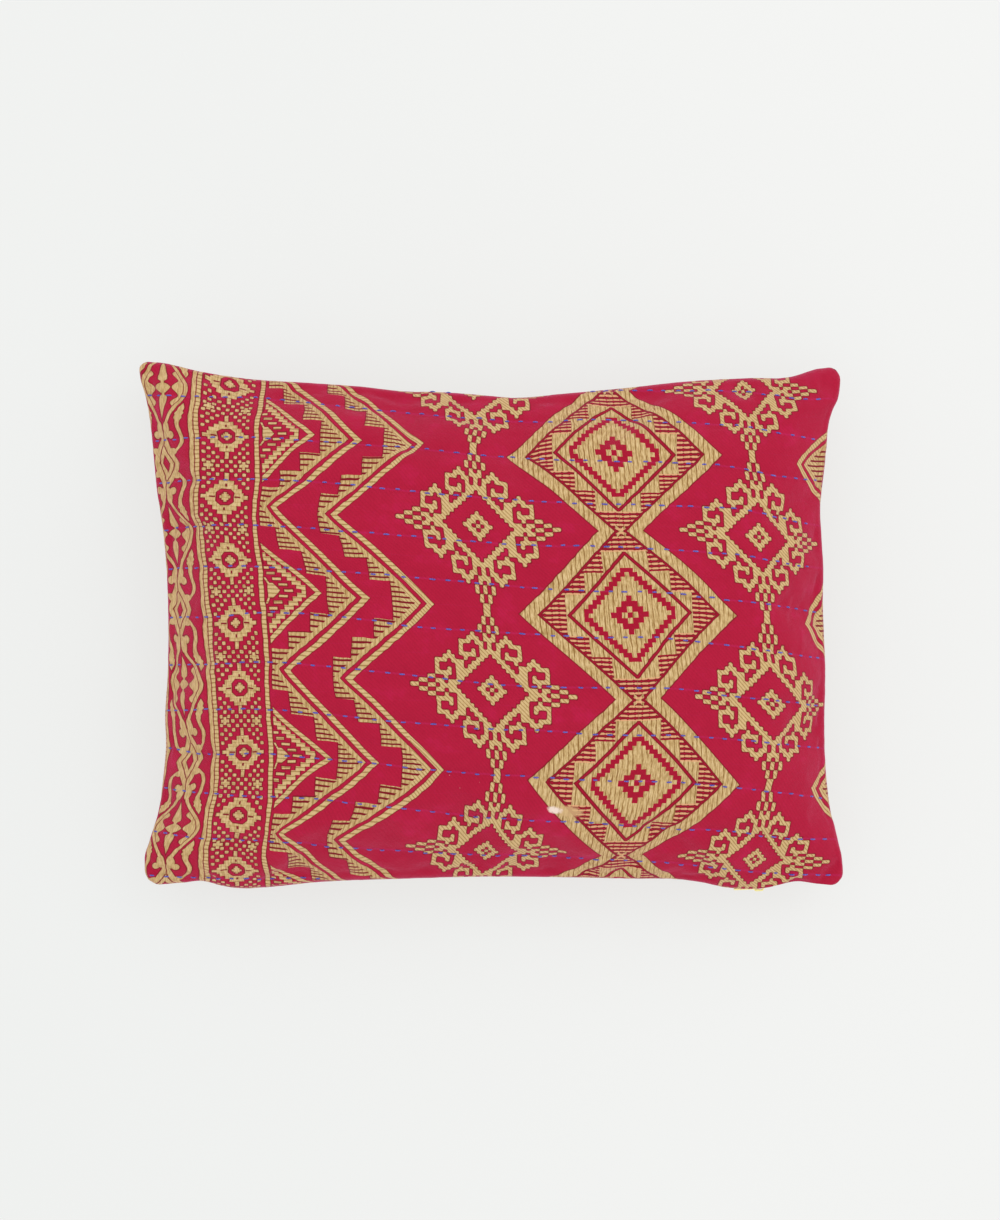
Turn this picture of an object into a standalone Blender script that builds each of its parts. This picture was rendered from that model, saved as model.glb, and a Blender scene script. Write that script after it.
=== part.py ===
"""Kantha throw pillow, lying on its back.

One filled cushion sewn from a front and a back panel, with the closed zip in its lower seam:
the zip's chain, its slider and the slider's pull. Metres, +Z up; X runs along the long sides and
Y towards the upper long side. The origin is on the floor under the middle of the whole part.
"""

import bmesh
import bpy
import numpy as np
from mathutils import Vector

MM = 0.001

# The four corners of the filled cushion, where its sides would meet if they were sharp
CORNERS = {
    "upper_left": (-203.5, 152.5),
    "upper_right": (203.8, 149.0),
    "lower_right": (204.7, -151.3),
    "lower_left": (-201.2, -151.3),
}
# Radius of each corner in plan, and the height of its seam above the floor
CORNER_RADIUS = {"upper_left": 6.0, "upper_right": 7.0, "lower_right": 7.5, "lower_left": 9.5}
CORNER_HEIGHT = {"upper_left": 29.0, "upper_right": 32.0, "lower_right": 30.0, "lower_left": 27.0}
# Height of the seam at the middle of a side
SEAM_HEIGHT = 41.0

# How far each side is drawn in from the line between its corners.
# Columns: share of the side from its start, millimetres drawn in
UPPER_SIDE = (
    (0.00, 0.3), (0.03, 1.2), (0.09, 6.6), (0.15, 10.4), (0.25, 13.2), (0.32, 15.2),
    (0.38, 17.8), (0.43, 18.1), (0.48, 19.4), (0.54, 21.1), (0.60, 18.8), (0.70, 14.7),
    (0.77, 11.3), (0.87, 8.5), (0.93, 7.4), (0.965, 2.9), (1.00, 1.1),
)
LOWER_SIDE = (
    (0.00, 0.3), (0.055, 2.3), (0.084, 3.4), (0.112, 0.7), (0.14, -0.6), (0.17, 0.0),
    (0.25, 3.4), (0.37, 5.6), (0.48, 6.9), (0.60, 6.6), (0.70, 5.7), (0.765, 5.2),
    (0.80, 3.2), (0.825, 0.9), (0.87, -0.6), (0.905, 1.4), (0.93, 3.5), (0.965, 2.0),
    (1.00, 0.6),
)
LEFT_SIDE = (
    (0.00, 0.0), (0.03, 0.7), (0.065, 3.9), (0.125, 7.2), (0.185, 9.1), (0.25, 11.1),
    (0.31, 14.0), (0.37, 15.9), (0.49, 17.3), (0.61, 16.4), (0.67, 14.9), (0.735, 15.0),
    (0.79, 13.2), (0.855, 10.1), (0.915, 4.2), (0.945, 1.3), (0.97, 1.2), (1.00, 1.0),
)
RIGHT_SIDE = (
    (0.00, 1.4), (0.03, 1.4), (0.06, 2.7), (0.085, 6.1), (0.115, 8.7), (0.15, 9.7),
    (0.21, 11.8), (0.27, 13.9), (0.33, 13.3), (0.39, 12.4), (0.45, 12.8), (0.51, 12.3),
    (0.575, 11.5), (0.70, 11.9), (0.76, 11.3), (0.82, 9.6), (0.855, 8.0), (0.885, 5.5),
    (0.915, 3.3), (0.945, 1.2), (0.97, 0.6), (1.00, 0.8),
)

# The filling: how high the front rises, and how deep the back would hang without a floor
CROWN_TOP = 95.0
BACK_DEPTH = 51.0
# A higher power keeps the crown level for longer before it falls to the seam
CROWN_POWER_ALONG = 2.6
CROWN_POWER_ACROSS = 2.1
CROWN_ROUNDNESS = 0.5
# The back eases onto the floor over this height
FLOOR_EASE = 5.0

# The cloth rolls over the seam: how high each roll is at mid side and at a corner, and how far
# the seam lies inside it
ROLL_HEIGHT = 8.5
ROLL_HEIGHT_AT_CORNER = 2.8
SEAM_INSET = 1.8
SEAM_HALF_WIDTH = 0.6
# Quarter-turn shares at which a roll is drawn from its widest line in to the seam
ROLL_STEPS = (0.5, 1.0)

# Uneven filling. Columns: place along and across as shares of the half sizes, radius, rise
FILLING = (
    (-0.45, 0.30, 0.40, 1.6),
    (0.42, -0.28, 0.42, 1.8),
    (0.05, 0.05, 0.30, -0.9),
    (-0.62, -0.52, 0.28, 1.1),
    (0.68, 0.48, 0.26, 1.0),
    (-0.10, -0.68, 0.22, -1.0),
    (0.15, 0.72, 0.20, -0.9),
)
# Creases that run in from the corners. Columns: corner signs along and across, share of the
# way in at which the crease is deepest, half width as a share, depth
CORNER_CREASES = (
    (-1, 1, 0.80, 0.075, 1.7),
    (1, 1, 0.78, 0.080, 2.2),
    (-1, -1, 0.82, 0.080, 2.4),
    (1, -1, 0.80, 0.080, 2.2),
)
# Rows of running stitch, which draw the quilted cloth into shallow channels: where each row
# crosses the middle, as a share of the half height
STITCH_ROWS = (0.90, 0.755, 0.58, 0.395, 0.215, 0.017, -0.195, -0.39, -0.58, -0.76, -0.905)
# How the rows run down to the right and bow between the sides
ROW_SLANT = 0.07
ROW_BOW = 0.045
ROW_FAN = 0.07
# A higher power keeps to the rows' own course until nearer the upper and lower sides
ROW_HOLD = 12
CHANNEL_DEPTH = 0.8

# Lines of the mesh across one face: between two rows, and from the outer rows to the rim
LINES_BETWEEN_ROWS = 3
LINES_TO_RIM = 4
# Cells of the mesh along one face
CELLS_ALONG = 46
# Share of round spacing against even spacing, so that cells crowd where the edge is round
EDGE_CROWDING = 0.88

# The zip in the lower seam, seen from the front of that side
ZIP_START = -150.0
ZIP_END = 156.9
ZIP_CHAIN_WIDTH = 4.6
ZIP_CHAIN_THICKNESS = 1.2
ZIP_CHAIN_PIECES = 60
# The seam is set further in and wider where the zip is, and returns over this length
ZIP_INSET = 4.6
ZIP_HALF_WIDTH = 3.9
ZIP_FADE = 10.0
ZIP_END_ROOM = 7.0

SLIDER_START = 151.6
SLIDER_LENGTH = 8.8
SLIDER_WIDTH = 6.4
SLIDER_PLATE = 1.0
SLIDER_POST = 3.2
BRIDGE_START = 0.8
BRIDGE_LENGTH = 6.2
BRIDGE_WIDTH = 1.6
BRIDGE_BAR = 1.0
BRIDGE_HEIGHT = 2.6
PULL_LENGTH = 14.4
PULL_WIDTH = 4.2
PULL_THICKNESS = 1.1
PULL_BAR = 1.2
PULL_SLOT_LENGTH = 2.4
PULL_SLOT_WIDTH = 2.4
METAL_BEVEL = 0.25

# Clearance that neighbouring solids keep
CLEARANCE = 0.3


def clear_scene():
    for obj in list(bpy.data.objects):
        bpy.data.objects.remove(obj)


def read_table(table, at):
    """The smooth curve through a table's points, with the slopes of a cubic through neighbours."""
    x, y = np.array(table, float).T
    slope = np.gradient(y, x)
    at = np.clip(at, x[0], x[-1])
    i = np.clip(np.searchsorted(x, at) - 1, 0, len(x) - 2)
    gap = x[i + 1] - x[i]
    u = (at - x[i]) / gap
    return (
        (2 * u**3 - 3 * u**2 + 1) * y[i]
        + (u**3 - 2 * u**2 + u) * gap * slope[i]
        + (3 * u**2 - 2 * u**3) * y[i + 1]
        + (u**3 - u**2) * gap * slope[i + 1]
    )


def side(start, end, table, inward, share):
    """Plan points along one side, from the middle of one corner's arc to that of the next."""
    a, b = np.array(CORNERS[start]), np.array(CORNERS[end])
    length = np.linalg.norm(b - a)
    along = (b - a) / length
    first, last = CORNER_RADIUS[start], CORNER_RADIUS[end]
    arc_middle = 1 - np.sqrt(0.5)
    distance = arc_middle * first + share * (length - arc_middle * (first + last))
    drawn = read_table(table, distance / length)
    for radius, gone in ((first, distance), (last, length - distance)):
        left = np.clip(radius - gone, 0, radius)
        drawn = drawn + radius - np.sqrt(radius**2 - left**2)
    return a + np.outer(distance, along) + np.outer(drawn, inward)


def columns():
    """Places of the mesh's columns, from -1 to 1: even and round spacing mixed."""
    even = np.linspace(-1, 1, CELLS_ALONG + 1)
    return EDGE_CROWDING * np.sin(even * np.pi / 2) + (1 - EDGE_CROWDING) * even


def lines():
    """Places of the mesh's lines on the middle column, from -1 to 1, with one on each row."""
    rows = np.array(STITCH_ROWS[::-1])
    places = [a + (b - a) * np.arange(LINES_BETWEEN_ROWS) / LINES_BETWEEN_ROWS
              for a, b in zip(rows, rows[1:])]
    to_rim = np.sin(np.linspace(0, 1, LINES_TO_RIM + 1) * np.pi / 2)
    upper = rows[-1] + (1 - rows[-1]) * to_rim
    lower = rows[0] - (1 + rows[0]) * to_rim[:0:-1]
    return np.concatenate([lower, *places, upper])


def row_course(along, line):
    """Where the line that crosses the middle at this place lies further along the face."""
    fall = ROW_SLANT * along + (ROW_BOW + ROW_FAN * line) * along**2
    return line - fall * (1 - line**ROW_HOLD)


def plan(along, across):
    """Plan points for places on the face from -1 to 1, in millimetres: the patch between sides."""
    u, v = ((along + 1) / 2)[..., None], ((across + 1) / 2)[..., None]
    flat_u, flat_v = u.ravel(), 1 - v.ravel()
    shape = (*along.shape, 2)
    lower = side("lower_left", "lower_right", LOWER_SIDE, (0, 1), flat_u).reshape(shape)
    upper = side("upper_left", "upper_right", UPPER_SIDE, (0, -1), flat_u).reshape(shape)
    left = side("upper_left", "lower_left", LEFT_SIDE, (1, 0), flat_v).reshape(shape)
    right = side("upper_right", "lower_right", RIGHT_SIDE, (-1, 0), flat_v).reshape(shape)
    ends = side("lower_left", "lower_right", LOWER_SIDE, (0, 1), np.array([0.0, 1.0]))
    tops = side("upper_left", "upper_right", UPPER_SIDE, (0, -1), np.array([0.0, 1.0]))
    ruled = (1 - v) * lower + v * upper + (1 - u) * left + u * right
    corners = (1 - v) * ((1 - u) * ends[0] + u * ends[1]) + v * ((1 - u) * tops[0] + u * tops[1])
    return ruled - corners


def between_corners(along, across, at_middle, at_corner):
    """A value that eases from at_middle at mid side to each corner's own value."""
    ends = {
        (-1, 1): at_corner["upper_left"],
        (1, 1): at_corner["upper_right"],
        (1, -1): at_corner["lower_right"],
        (-1, -1): at_corner["lower_left"],
    }
    total = np.full(np.shape(along), float(at_middle))
    for (sx, sy), value in ends.items():
        near = np.clip((1 + sx * along) / 2, 0, 1) ** 3 * np.clip((1 + sy * across) / 2, 0, 1) ** 3
        total = total + near * (value - at_middle)
    return total


def seam_height(along, across):
    return between_corners(along, across, SEAM_HEIGHT, CORNER_HEIGHT)


def roll_height(along, across):
    return between_corners(
        along, across, ROLL_HEIGHT, dict.fromkeys(CORNERS, ROLL_HEIGHT_AT_CORNER)
    )


def crown(along, across):
    rise_along = 1 - np.abs(along) ** CROWN_POWER_ALONG
    rise_across = 1 - np.abs(across) ** CROWN_POWER_ACROSS
    return np.clip(rise_along * rise_across, 0, 1) ** CROWN_ROUNDNESS


def filling(along, across):
    """Soft hills and hollows of the filling, gone at the seam."""
    total = 0
    for x, y, radius, rise in FILLING:
        total = total + rise * np.exp(-((along - x) ** 2 + (across - y) ** 2) / radius**2)
    return total * np.clip(crown(along, across) * 2, 0, 1)


def corner_creases(along, across):
    """Soft troughs across each corner's ear, where the filling ends."""
    total = 0
    for sx, sy, place, half_width, depth in CORNER_CREASES:
        inward = (sx * along + sy * across) / 2
        sideways = (sx * along - sy * across) / 2
        trough = np.exp(-(((inward - place) / half_width) ** 2) - (sideways / 0.10) ** 2)
        total = total - depth * trough
    return total


def channels(lines_at):
    """Depth of the channels on each line of the mesh: full on a row of stitches, else none."""
    on_row = [min(abs(line - row) for row in STITCH_ROWS) < 1e-6 for line in lines_at]
    return CHANNEL_DEPTH * np.array(on_row, float)[:, None]


def front_height(along, across, channel):
    base = seam_height(along, across) + roll_height(along, across)
    middle = CROWN_TOP - SEAM_HEIGHT - ROLL_HEIGHT
    dome = crown(along, across)
    shape = base + middle * dome + filling(along, across) + corner_creases(along, across)
    return shape - channel * np.clip(dome * 2, 0, 1)


def back_height(along, across, channel):
    base = seam_height(along, across) - roll_height(along, across)
    dome = crown(along, across)
    hung = base - (BACK_DEPTH - ROLL_HEIGHT) * dome + channel * np.clip(dome * 2, 0, 1)
    eased = np.clip(hung + FLOOR_EASE, 0, None) ** 2 / (4 * FLOOR_EASE)
    return np.where(hung > FLOOR_EASE, hung, eased)


def rim_loop(grid):
    """The outer ring of a grid of rows, once round, counter-clockwise from the lower left."""
    return np.concatenate([grid[0, :-1], grid[:-1, -1], grid[-1, :0:-1], grid[:0:-1, 0]])


def inward_normals(ring):
    """Unit normals of a closed plan ring, pointing in."""
    tangent = np.roll(ring, -1, 0) - np.roll(ring, 1, 0)
    tangent /= np.linalg.norm(tangent, axis=1, keepdims=True)
    return np.stack([-tangent[:, 1], tangent[:, 0]], 1)


def zip_share(ring):
    """1 on the lower seam where the zip is, easing to 0 past its ends and off that side."""
    x, y = ring.T
    rise = np.clip((x - (ZIP_START - ZIP_FADE)) / ZIP_FADE, 0, 1)
    end = SLIDER_START + SLIDER_LENGTH + ZIP_END_ROOM
    fall = np.clip((end + ZIP_FADE - x) / ZIP_FADE, 0, 1)
    share = np.minimum(rise, fall) * (y < 0)
    return share**2 * (3 - 2 * share)


def cushion_rings():
    """The front and back grids, and the rings that turn from each one in to the seam."""
    lines_at = lines()
    along, line = np.meshgrid(columns(), lines_at)
    across = row_course(along, line)
    flat = plan(along, across)
    channel = channels(lines_at)
    front = np.dstack([flat, front_height(along, across, channel)])
    back = np.dstack([flat, back_height(along, across, channel)])
    loop = rim_loop(front)[:, :2]
    inward = inward_normals(loop)
    height = rim_loop(seam_height(along, across)[:, :, None])[:, 0]
    zipped = zip_share(loop)
    inset = SEAM_INSET + (ZIP_INSET - SEAM_INSET) * zipped
    half = SEAM_HALF_WIDTH + (ZIP_HALF_WIDTH - SEAM_HALF_WIDTH) * zipped
    rings = {}
    for name, sign, grid in (("front", 1, front), ("back", -1, back)):
        top = rim_loop(grid)[:, 2]
        rings[name] = []
        for step in ROLL_STEPS:
            turn = step * np.pi / 2
            places = loop + inward * (inset * (1 - np.cos(turn)))[:, None]
            level = top + (height + sign * half - top) * np.sin(turn)
            rings[name].append(np.column_stack([places, level]))
    return front, back, rings


def add_material(obj, name, colour, roughness, metallic):
    material = bpy.data.materials.new(name)
    material.use_nodes = True
    shader = material.node_tree.nodes["Principled BSDF"]
    shader.inputs["Base Color"].default_value = (*colour, 1)
    shader.inputs["Roughness"].default_value = roughness
    shader.inputs["Metallic"].default_value = metallic
    obj.data.materials.append(material)


def make_object(name, bm):
    bmesh.ops.recalc_face_normals(bm, faces=bm.faces)
    mesh = bpy.data.meshes.new(name)
    bm.to_mesh(mesh)
    bm.free()
    obj = bpy.data.objects.new(name, mesh)
    bpy.context.scene.collection.objects.link(obj)
    return obj


def make_cushion():
    """The two faces as grids, their rims bridged ring by ring to the seam."""
    front, back, rings = cushion_rings()
    bm = bmesh.new()
    loops = {}
    for name, grid in (("front", front), ("back", back)):
        verts = [[bm.verts.new(Vector(p) * MM) for p in row] for row in grid]
        for lower, upper in zip(verts, verts[1:]):
            for i in range(len(lower) - 1):
                bm.faces.new((lower[i], lower[i + 1], upper[i + 1], upper[i]))
        edge = list(rim_loop(np.array(verts, object)))
        loops[name] = [edge] + [[bm.verts.new(Vector(p) * MM) for p in ring] for ring in rings[name]]
    ladder = loops["front"] + loops["back"][::-1]
    for ring, following in zip(ladder, ladder[1:]):
        for i in range(len(ring)):
            j = (i + 1) % len(ring)
            bm.faces.new((ring[i], ring[j], following[j], following[i]))
    cushion = make_object("cushion", bm)
    cushion.data.shade_smooth()
    add_material(cushion, "crimson_kantha_cloth", (0.42, 0.02, 0.05), 0.85, 0.0)
    return cushion


def lower_seam(x):
    """Plan points and outward normals of the lower outline at these x."""
    share = np.linspace(0, 1, 2001)
    line = side("lower_left", "lower_right", LOWER_SIDE, (0, 1), share)
    y = np.interp(x, line[:, 0], line[:, 1])
    slope = np.interp(x, line[:, 0], np.gradient(line[:, 1], line[:, 0]))
    normal = np.stack([slope, -np.ones_like(slope)], -1)
    return np.stack([x, y], -1), normal / np.linalg.norm(normal, axis=-1, keepdims=True)


def lower_seam_height(x):
    along = np.interp(x, (CORNERS["lower_left"][0], CORNERS["lower_right"][0]), (-1, 1))
    return seam_height(along, np.full_like(along, -1.0))


def chain_depth():
    """How far inside the outline the chain's outer face lies."""
    return SLIDER_PLATE + CLEARANCE


def make_zip_chain():
    """The closed chain: a strip along the seam, swept from its four-cornered section."""
    x = np.linspace(ZIP_START, ZIP_END, ZIP_CHAIN_PIECES + 1)
    place, normal = lower_seam(x)
    height = lower_seam_height(x)
    bm = bmesh.new()
    sections = []
    for p, n, z in zip(place, normal, height):
        outer = p - n * chain_depth()
        inner = outer - n * ZIP_CHAIN_THICKNESS
        half = ZIP_CHAIN_WIDTH / 2
        corners = ((outer, z - half), (inner, z - half), (inner, z + half), (outer, z + half))
        sections.append([bm.verts.new(Vector((*q, level)) * MM) for q, level in corners])
    for first, second in zip(sections, sections[1:]):
        for i in range(4):
            j = (i + 1) % 4
            bm.faces.new((first[i], first[j], second[j], second[i]))
    bm.faces.new(sections[0])
    bm.faces.new(sections[-1])
    chain = make_object("zip_chain", bm)
    add_material(chain, "crimson_zip_tape", (0.30, 0.02, 0.04), 0.7, 0.0)
    return chain


def extrude_outline(bm, outline, low, high):
    """A prism from an outline of (x, outward) points, standing from low to high in Z."""
    bottom = [bm.verts.new(Vector((x, -out, low)) * MM) for x, out in outline]
    face = bm.faces.new(bottom)
    grown = bmesh.ops.extrude_face_region(bm, geom=[face])
    lifted = [v for v in grown["geom"] if isinstance(v, bmesh.types.BMVert)]
    bmesh.ops.translate(bm, vec=Vector((0, 0, (high - low) * MM)), verts=lifted)


def add_bevel(obj):
    bevel = obj.modifiers.new("rounded_edges", "BEVEL")
    bevel.width = METAL_BEVEL * MM
    bevel.segments = 2
    bevel.limit_method = "ANGLE"


def place_on_seam(obj, x):
    """Moves a piece modelled from x = 0 on the outline to its place on the lower seam."""
    place, normal = lower_seam(np.array([x]))
    obj.location = Vector((*place[0], lower_seam_height(x))) * MM
    obj.rotation_euler.z = np.arctan2(normal[0, 0], -normal[0, 1])


def make_slider():
    """Two plates joined by the post that the chain ends at, with the bridge for the pull."""
    depth = chain_depth() + ZIP_CHAIN_THICKNESS + CLEARANCE
    half = SLIDER_WIDTH / 2
    post = SLIDER_LENGTH - SLIDER_POST
    body = (
        (0, 0), (SLIDER_LENGTH, 0), (SLIDER_LENGTH, -depth - SLIDER_PLATE),
        (0, -depth - SLIDER_PLATE), (0, -depth), (post, -depth), (post, -SLIDER_PLATE),
        (0, -SLIDER_PLATE),
    )
    bm = bmesh.new()
    extrude_outline(bm, body, -half, half)
    slider = make_object("zip_slider", bm)
    start, end = BRIDGE_START, BRIDGE_START + BRIDGE_LENGTH
    sunk = -SLIDER_PLATE / 2
    arch = (
        (start, sunk), (start, BRIDGE_HEIGHT - BRIDGE_BAR), (start + BRIDGE_BAR, BRIDGE_HEIGHT),
        (end - BRIDGE_BAR, BRIDGE_HEIGHT), (end, BRIDGE_HEIGHT - BRIDGE_BAR), (end, sunk),
        (end - BRIDGE_BAR, sunk), (end - BRIDGE_BAR, BRIDGE_HEIGHT - BRIDGE_BAR),
        (start + BRIDGE_BAR, BRIDGE_HEIGHT - BRIDGE_BAR), (start + BRIDGE_BAR, sunk),
    )
    bm = bmesh.new()
    extrude_outline(bm, arch, -BRIDGE_WIDTH / 2, BRIDGE_WIDTH / 2)
    bridge = make_object("bridge_shape", bm)
    bridge.hide_render = True
    bridge.display_type = "WIRE"
    union = slider.modifiers.new("bridge", "BOOLEAN")
    union.operation = "UNION"
    union.object = bridge
    add_bevel(slider)
    for obj in (slider, bridge):
        place_on_seam(obj, SLIDER_START)
    add_material(slider, "zip_metal", (0.80, 0.58, 0.25), 0.28, 1.0)
    return slider, bridge


def make_pull():
    """A flat bar with a slot at its end, hooked round the bridge's near leg."""
    slot_end = BRIDGE_START - CLEARANCE - METAL_BEVEL + PULL_SLOT_LENGTH
    slot_start = slot_end - PULL_SLOT_LENGTH
    end = slot_end + PULL_BAR
    start = end - PULL_LENGTH
    half, slot_half = PULL_WIDTH / 2, PULL_SLOT_WIDTH / 2
    bm = bmesh.new()
    outer = ((start, -half), (end, -half), (end, half), (start, half))
    inner = (
        (slot_start, -slot_half), (slot_end, -slot_half),
        (slot_end, slot_half), (slot_start, slot_half),
    )
    levels = (CLEARANCE, CLEARANCE + PULL_THICKNESS)
    rings = {}
    for level in levels:
        for name, outline in (("outer", outer), ("inner", inner)):
            rings[name, level] = [bm.verts.new(Vector((x, -level, z)) * MM) for x, z in outline]
    for i in range(4):
        j = (i + 1) % 4
        for level in levels:
            out, hole = rings["outer", level], rings["inner", level]
            bm.faces.new((out[i], out[j], hole[j], hole[i]))
        for name in ("outer", "inner"):
            low, high = rings[name, levels[0]], rings[name, levels[1]]
            bm.faces.new((low[i], low[j], high[j], high[i]))
    pull = make_object("zip_pull", bm)
    add_bevel(pull)
    place_on_seam(pull, SLIDER_START)
    add_material(pull, "zip_metal", (0.80, 0.58, 0.25), 0.28, 1.0)
    return pull


def centre(objects, helpers):
    """Moves everything so that the origin is under the middle of the whole part."""
    bpy.context.view_layer.update()
    graph = bpy.context.evaluated_depsgraph_get()
    points = []
    for obj in objects:
        seen = obj.evaluated_get(graph)
        points += [seen.matrix_world @ Vector(corner) for corner in seen.bound_box]
    low = Vector(min(p[i] for p in points) for i in range(3))
    high = Vector(max(p[i] for p in points) for i in range(3))
    shift = -(low + high) / 2
    shift.z = -low.z
    for obj in (*objects, *helpers):
        obj.location += shift


def main():
    clear_scene()
    cushion = make_cushion()
    chain = make_zip_chain()
    slider, bridge = make_slider()
    pull = make_pull()
    centre((cushion, chain, slider, pull), (bridge,))


main()
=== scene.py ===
"""Kantha throw pillow on its back on a pale floor, seen from straight above.

The cushion repeats the curves of the CAD solid on a finer mesh, filled out by a cloth simulation.
The print is laid on by a map of the flat cloth, and the running stitches are small threads.
Lengths are millimetres until a piece is made, and metres in the scene. Points of the photograph
are given as pixels from its upper left corner.
"""

import bpy
import numpy as np
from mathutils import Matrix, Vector
from mathutils.bvhtree import BVHTree


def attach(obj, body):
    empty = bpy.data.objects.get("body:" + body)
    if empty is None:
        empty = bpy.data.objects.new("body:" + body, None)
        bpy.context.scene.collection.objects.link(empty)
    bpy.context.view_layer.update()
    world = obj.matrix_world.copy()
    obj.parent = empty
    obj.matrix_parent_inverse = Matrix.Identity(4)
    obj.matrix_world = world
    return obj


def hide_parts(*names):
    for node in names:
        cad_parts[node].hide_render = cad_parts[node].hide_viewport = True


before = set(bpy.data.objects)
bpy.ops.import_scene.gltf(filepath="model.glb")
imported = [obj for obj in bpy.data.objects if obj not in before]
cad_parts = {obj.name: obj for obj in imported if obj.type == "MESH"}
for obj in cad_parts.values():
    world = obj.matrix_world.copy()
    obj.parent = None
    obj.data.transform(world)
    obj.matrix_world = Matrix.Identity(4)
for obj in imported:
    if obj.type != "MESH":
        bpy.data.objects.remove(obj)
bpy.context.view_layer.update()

MM = 0.001

# Form of the cushion, as in the CAD

CORNERS = {
    "upper_left": (-203.5, 152.5),
    "upper_right": (203.8, 149.0),
    "lower_right": (204.7, -151.3),
    "lower_left": (-201.2, -151.3),
}
CORNER_RADIUS = {"upper_left": 6.0, "upper_right": 7.0, "lower_right": 7.5, "lower_left": 9.5}
CORNER_HEIGHT = {"upper_left": 29.0, "upper_right": 32.0, "lower_right": 30.0, "lower_left": 27.0}
SEAM_HEIGHT = 41.0

# How far each side is drawn in. Columns: share of the side from its start, millimetres
UPPER_SIDE = (
    (0.00, 0.3), (0.03, 1.2), (0.09, 6.6), (0.15, 10.4), (0.25, 13.2), (0.32, 15.2),
    (0.38, 17.8), (0.43, 18.1), (0.48, 19.4), (0.54, 21.1), (0.60, 18.8), (0.70, 14.7),
    (0.77, 11.3), (0.87, 8.5), (0.93, 7.4), (0.965, 2.9), (1.00, 1.1),
)
LOWER_SIDE = (
    (0.00, 0.3), (0.055, 2.3), (0.084, 3.4), (0.112, 0.7), (0.14, -0.6), (0.17, 0.0),
    (0.25, 3.4), (0.37, 5.6), (0.48, 6.9), (0.60, 6.6), (0.70, 5.7), (0.765, 5.2),
    (0.80, 3.2), (0.825, 0.9), (0.87, -0.6), (0.905, 1.4), (0.93, 3.5), (0.965, 2.0),
    (1.00, 0.6),
)
LEFT_SIDE = (
    (0.00, 0.0), (0.03, 0.7), (0.065, 3.9), (0.125, 7.2), (0.185, 9.1), (0.25, 11.1),
    (0.31, 14.0), (0.37, 15.9), (0.49, 17.3), (0.61, 16.4), (0.67, 14.9), (0.735, 15.0),
    (0.79, 13.2), (0.855, 10.1), (0.915, 4.2), (0.945, 1.3), (0.97, 1.2), (1.00, 1.0),
)
RIGHT_SIDE = (
    (0.00, 1.4), (0.03, 1.4), (0.06, 2.7), (0.085, 6.1), (0.115, 8.7), (0.15, 9.7),
    (0.21, 11.8), (0.27, 13.9), (0.33, 13.3), (0.39, 12.4), (0.45, 12.8), (0.51, 12.3),
    (0.575, 11.5), (0.70, 11.9), (0.76, 11.3), (0.82, 9.6), (0.855, 8.0), (0.885, 5.5),
    (0.915, 3.3), (0.945, 1.2), (0.97, 0.6), (1.00, 0.8),
)
CROWN_TOP = 95.0
BACK_DEPTH = 51.0
CROWN_POWER_ALONG = 2.6
CROWN_POWER_ACROSS = 2.1
CROWN_ROUNDNESS = 0.5
FLOOR_EASE = 5.0
ROLL_HEIGHT = 8.5
ROLL_HEIGHT_AT_CORNER = 2.8
SEAM_INSET = 1.8
SEAM_HALF_WIDTH = 0.6
# Hills and hollows of the filling. Columns: place along, place across, radius, rise in millimetres
FILLING = (
    (-0.45, 0.30, 0.40, 1.6),
    (0.42, -0.28, 0.42, 1.8),
    (0.05, 0.05, 0.30, -0.9),
    (-0.62, -0.52, 0.28, 1.1),
    (0.68, 0.48, 0.26, 1.0),
    (-0.10, -0.68, 0.22, -1.0),
    (0.15, 0.72, 0.20, -0.9),
)
# Troughs across the corners' ears.
# Columns: the corner's side along and across, place on the diagonal, half width, depth
CORNER_CREASES = (
    (-1, 1, 0.80, 0.075, 1.7),
    (1, 1, 0.78, 0.080, 2.2),
    (-1, -1, 0.82, 0.080, 2.4),
    (1, -1, 0.80, 0.080, 2.2),
)
CORNER_CREASE_LENGTH = 0.10
# The face's rows of points follow the rows of stitches
ROW_SLANT = 0.07
ROW_BOW = 0.045
ROW_FAN = 0.07
ROW_HOLD = 12
# The seam opens for the zip
ZIP_START = -150.0
ZIP_INSET = 4.6
ZIP_HALF_WIDTH = 3.9
ZIP_FADE = 10.0
ZIP_END_ROOM = 7.0
SLIDER_START = 151.6
SLIDER_LENGTH = 8.8
# From the tables' origin to the part's
SHIFT = np.array([-0.5946, 1.1378, 0.0])

# The fine mesh, and the coarse one that the cloth simulation fills
FINE_COLUMNS = 216
FINE_LINES = 160
COARSE_COLUMNS = 72
COARSE_LINES = 54
# How much the columns and lines crowd towards the seam, from 0 to 1
CROWDING = 0.72
# Shares of the quarter turn from a face's widest line to the seam, one for each ring of points
ROLL_TURNS = (0.33, 0.66, 1.0)

# The photograph: its middle in pixels, its scale at the height of the seam, and its camera
PHOTO_CENTRE = (500.0, 610.0)
PHOTO_MM_PER_PIXEL = 0.5765
CAMERA_PLACE = (5.765, 8.359)
CAMERA_DISTANCE = 1800.0

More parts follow.
